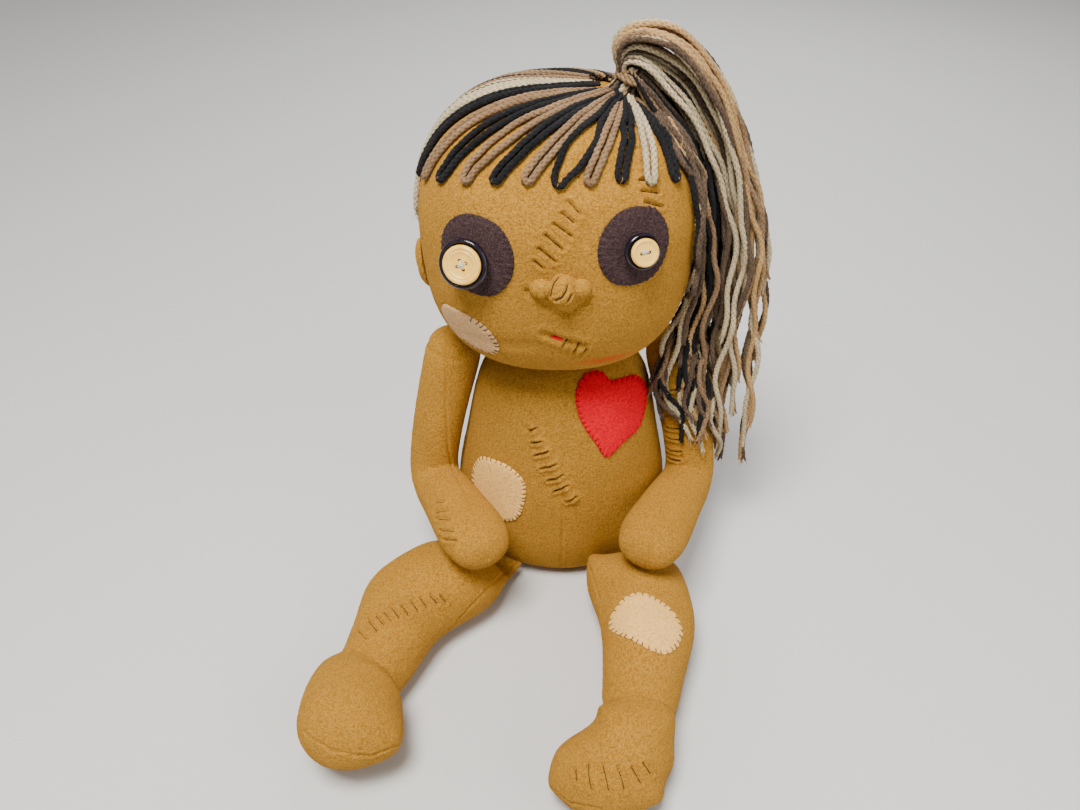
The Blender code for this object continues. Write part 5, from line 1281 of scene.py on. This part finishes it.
def make_back_hair(look, tree):
    """Strands laid side by side down the back of the head, from the knot to the nape."""
    foot, _ = hair_base(tree)
    start = (foot - middle_of("head")).normalized()
    half_height = (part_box("head")[1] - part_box("head")[0]).z / 2
    strands = Strands("back_hair")
    for k in range(BACK_COUNT):
        angle = math.radians(BACK_FROM + (BACK_TO - BACK_FROM) * k / (BACK_COUNT - 1))
        lift = -0.50 + 0.05 * math.sin(k * 2.3)
        shade = BACK_COLOURS[(k // 2) % len(BACK_COLOURS)]
        if k > SIDE_FROM:  # ever shorter ones towards the right ear
            lift += 0.64 * (k - SIDE_FROM) / (BACK_COUNT - 1 - SIDE_FROM)
            shade = SIDE_COLOURS[k - SIDE_FROM - 1]
        level = Vector((math.sin(angle), -math.cos(angle), 0))
        end = (level * 0.062 + Vector((0, 0, lift * half_height))).normalized()
        aside = start.cross(end).normalized()
        wave = strands.random.uniform(0, 6.28)
        line = []
        for r in range(BACK_ROWS + 1):
            share = 0.10 + 0.90 * r / BACK_ROWS
            place = over_head(tree, start, end, share, rest_height(k, share, 1.5 * MM))
            line.append(place + aside * (0.5 * MM * math.sin(wave + 7 * share)))
        path = resampled(line, STEP)
        colour = look[shade + "_yarn"]
        strands.tube(path, lambda t: STRAND * (0.50 + 0.50 * min(1, t / 0.30)), colour)
        strands.frayed_end(path, STRAND * 0.9, colour)
    strands.add("back_hair_yarn", "head", "brown_yarn", "back_hair")


def make_knot(look, tree):
    """The yarn gathered into the knot, and the strand wound round it."""
    foot, out = hair_base(tree)
    out = Vector((out.x, 0, out.z)).normalized()
    right = Vector((0, 1, 0))
    up = right.cross(out)
    strands = Strands("hair_knot")
    for k in range(KNOT_COUNT):
        angle = TURN * (k + 0.5) / KNOT_COUNT
        aside = right * math.sin(angle) + up * math.cos(angle)
        line = [clear_of(tree, foot + aside * (reach * MM) + out * (rise * MM), STRAND)
                for reach, rise in KNOT_PROFILE]
        strands.tube(resampled(line, 1.2 * MM),
                     lambda t: STRAND * (0.82 + 0.1 * math.cos(6.28 * t)),
                     look[KNOT_COLOURS[k % len(KNOT_COLOURS)] + "_yarn"])
    core = [foot + out * (rise * MM) for rise in (1, 5, 10, 15.5)]
    strands.tube(resampled(core, 1.5 * MM), 3.9 * MM, look["black_yarn"])
    strands.add("hair_knot_yarn", "head", "black_yarn", "hair_knot")
    wrap = Strands("hair_tie")
    line = []
    level = (middle_of("hair_tie") - foot).dot(out)
    for k in range(round(TIE_TURNS * TIE_STEPS) + 1):
        angle = TURN * k / TIE_STEPS
        climb = level + 3.6 * MM * (k / (TIE_TURNS * TIE_STEPS) - 0.5)
        radius = 6.3 * MM + 0.3 * MM * math.sin(angle * 1.7)
        line.append(foot + (right * math.sin(angle) + up * math.cos(angle)) * radius
                    + out * climb)
    wrap.tube(resampled(line, 1.2 * MM), 1.3 * MM, look["tan_yarn"])
    wrap.add("hair_tie_yarn", "head", "tan_yarn", "hair_tie")


def between_knots(knots, at):
    for low, high in zip(knots, knots[1:]):
        if at <= high[0]:
            mix = (at - low[0]) / (high[0] - low[0])
            return low[1] + mix * (high[1] - low[1])
    return knots[-1][1]


def even_points(pixels, count):
    line = resampled([Vector((px, py, 0)) for px, py in pixels], 1.0)
    return [line[round(k * (len(line) - 1) / count)] for k in range(count + 1)]


def at_depth(px, py, y):
    """The place that the photograph's pixel shows at a distance in front of the doll."""
    way = sight(px, py)
    return CAMERA_PLACE + way * ((y - CAMERA_PLACE.y) / way.y)


def make_ponytail(look, trees):
    """Loose strands of uneven length in each lock, cut and frayed at their ends."""
    inner, outer = even_points(TAIL_INNER, TAIL_STEPS), even_points(TAIL_OUTER, TAIL_STEPS)
    for node, (row, column, reach, slot, colours) in LOCKS.items():
        strands = Strands(node)
        chance = strands.random
        colours = colours.split()
        for k in range(PER_LOCK):
            place = 0.01 + 0.25 * (1 + column) + chance.uniform(0, 0.48)
            bulge = math.sqrt(max(0, 1 - (2 * place - 1) ** 2))
            depth = (row + chance.uniform(-0.5, 0.5)) / 1.5 * (0.4 + 0.6 * bulge)
            last = chance.uniform(reach - 0.18, min(1.0, reach + 0.08))
            if column > 0 and place > 0.86 and chance.random() < 0.3:
                last = chance.uniform(0.58, 0.70)
            drift, deeper = chance.uniform(-0.34, 0.34), chance.uniform(-0.35, 0.35)
            phases = [chance.uniform(0, 6.28) for _ in range(4)]
            stacked, crossing = chance.random(), chance.uniform(-0.14, 0.14)
            clear = (1.6 + 2.2 * (row + 1) + 1.5 * stacked) * MM
            path = []
            for step in range(TAIL_STEPS + 1):
                share = step / TAIL_STEPS
                if share > last:
                    break
                loose = max(0, share - 0.22) / 0.78
                mix = place + drift * loose ** 1.2 + crossing * math.sin(
                    math.pi * min(1, share / 0.5))
                mix = min(1.02, max(0.02, mix))
                mix += (0.055 * loose * math.sin(phases[0] + 19 * share)
                        + (0.012 + 0.04 * loose) * math.sin(phases[1] + 43 * share))
                spot = inner[step].lerp(outer[step], mix)
                away = between_knots(TAIL_DEPTH, share) * MM * (depth + deeper * loose)
                away += 2.2 * MM * loose * (math.sin(phases[2] + 17 * share)
                                            + 0.5 * math.sin(phases[3] + 39 * share))
                point = at_depth(spot.x, spot.y, away)
                for part in ("head", "arm_left"):
                    hit, out, _, far = trees[part].ray_cast(CAMERA_PLACE,
                                                            sight(spot.x, spot.y))
                    if (hit is not None and (row < 1 or part == "arm_left")
                            and far < (point - CAMERA_PLACE).length + clear):
                        point = hit + out * clear
                if share > 0.05:
                    for part in ("head", "arm_left", "torso"):
                        point = clear_of(trees[part], point, TAIL_GAP)
                path.append(point)
            path = smoothed(resampled(path, STEP), 5)
            colour = look[colours[k % len(colours)] + "_yarn"]
            strands.tube(path, lambda t: TAIL_STRAND * (0.66 + 0.34 * min(1, t / 0.10)),
                         colour, sides=10, pitch=7 * MM)
            strands.frayed_end(path, TAIL_STRAND, colour)
        strands.add(node + "_yarn", "ponytail", slot, node)


make_camera()
make_stage()
LOOK = make_materials()
TREES = make_body(LOOK)
make_nose(LOOK, TREES["head"])
for seed, row in enumerate(PATCHES, 1):
    felt_patch(seed, TREES[row[2]], LOOK, *row)
make_mouth(LOOK, TREES["head"])
make_buttons(LOOK)
make_fringe(LOOK, TREES["head"])
make_back_hair(LOOK, TREES["head"])
make_knot(LOOK, TREES["head"])
make_ponytail(LOOK, TREES)
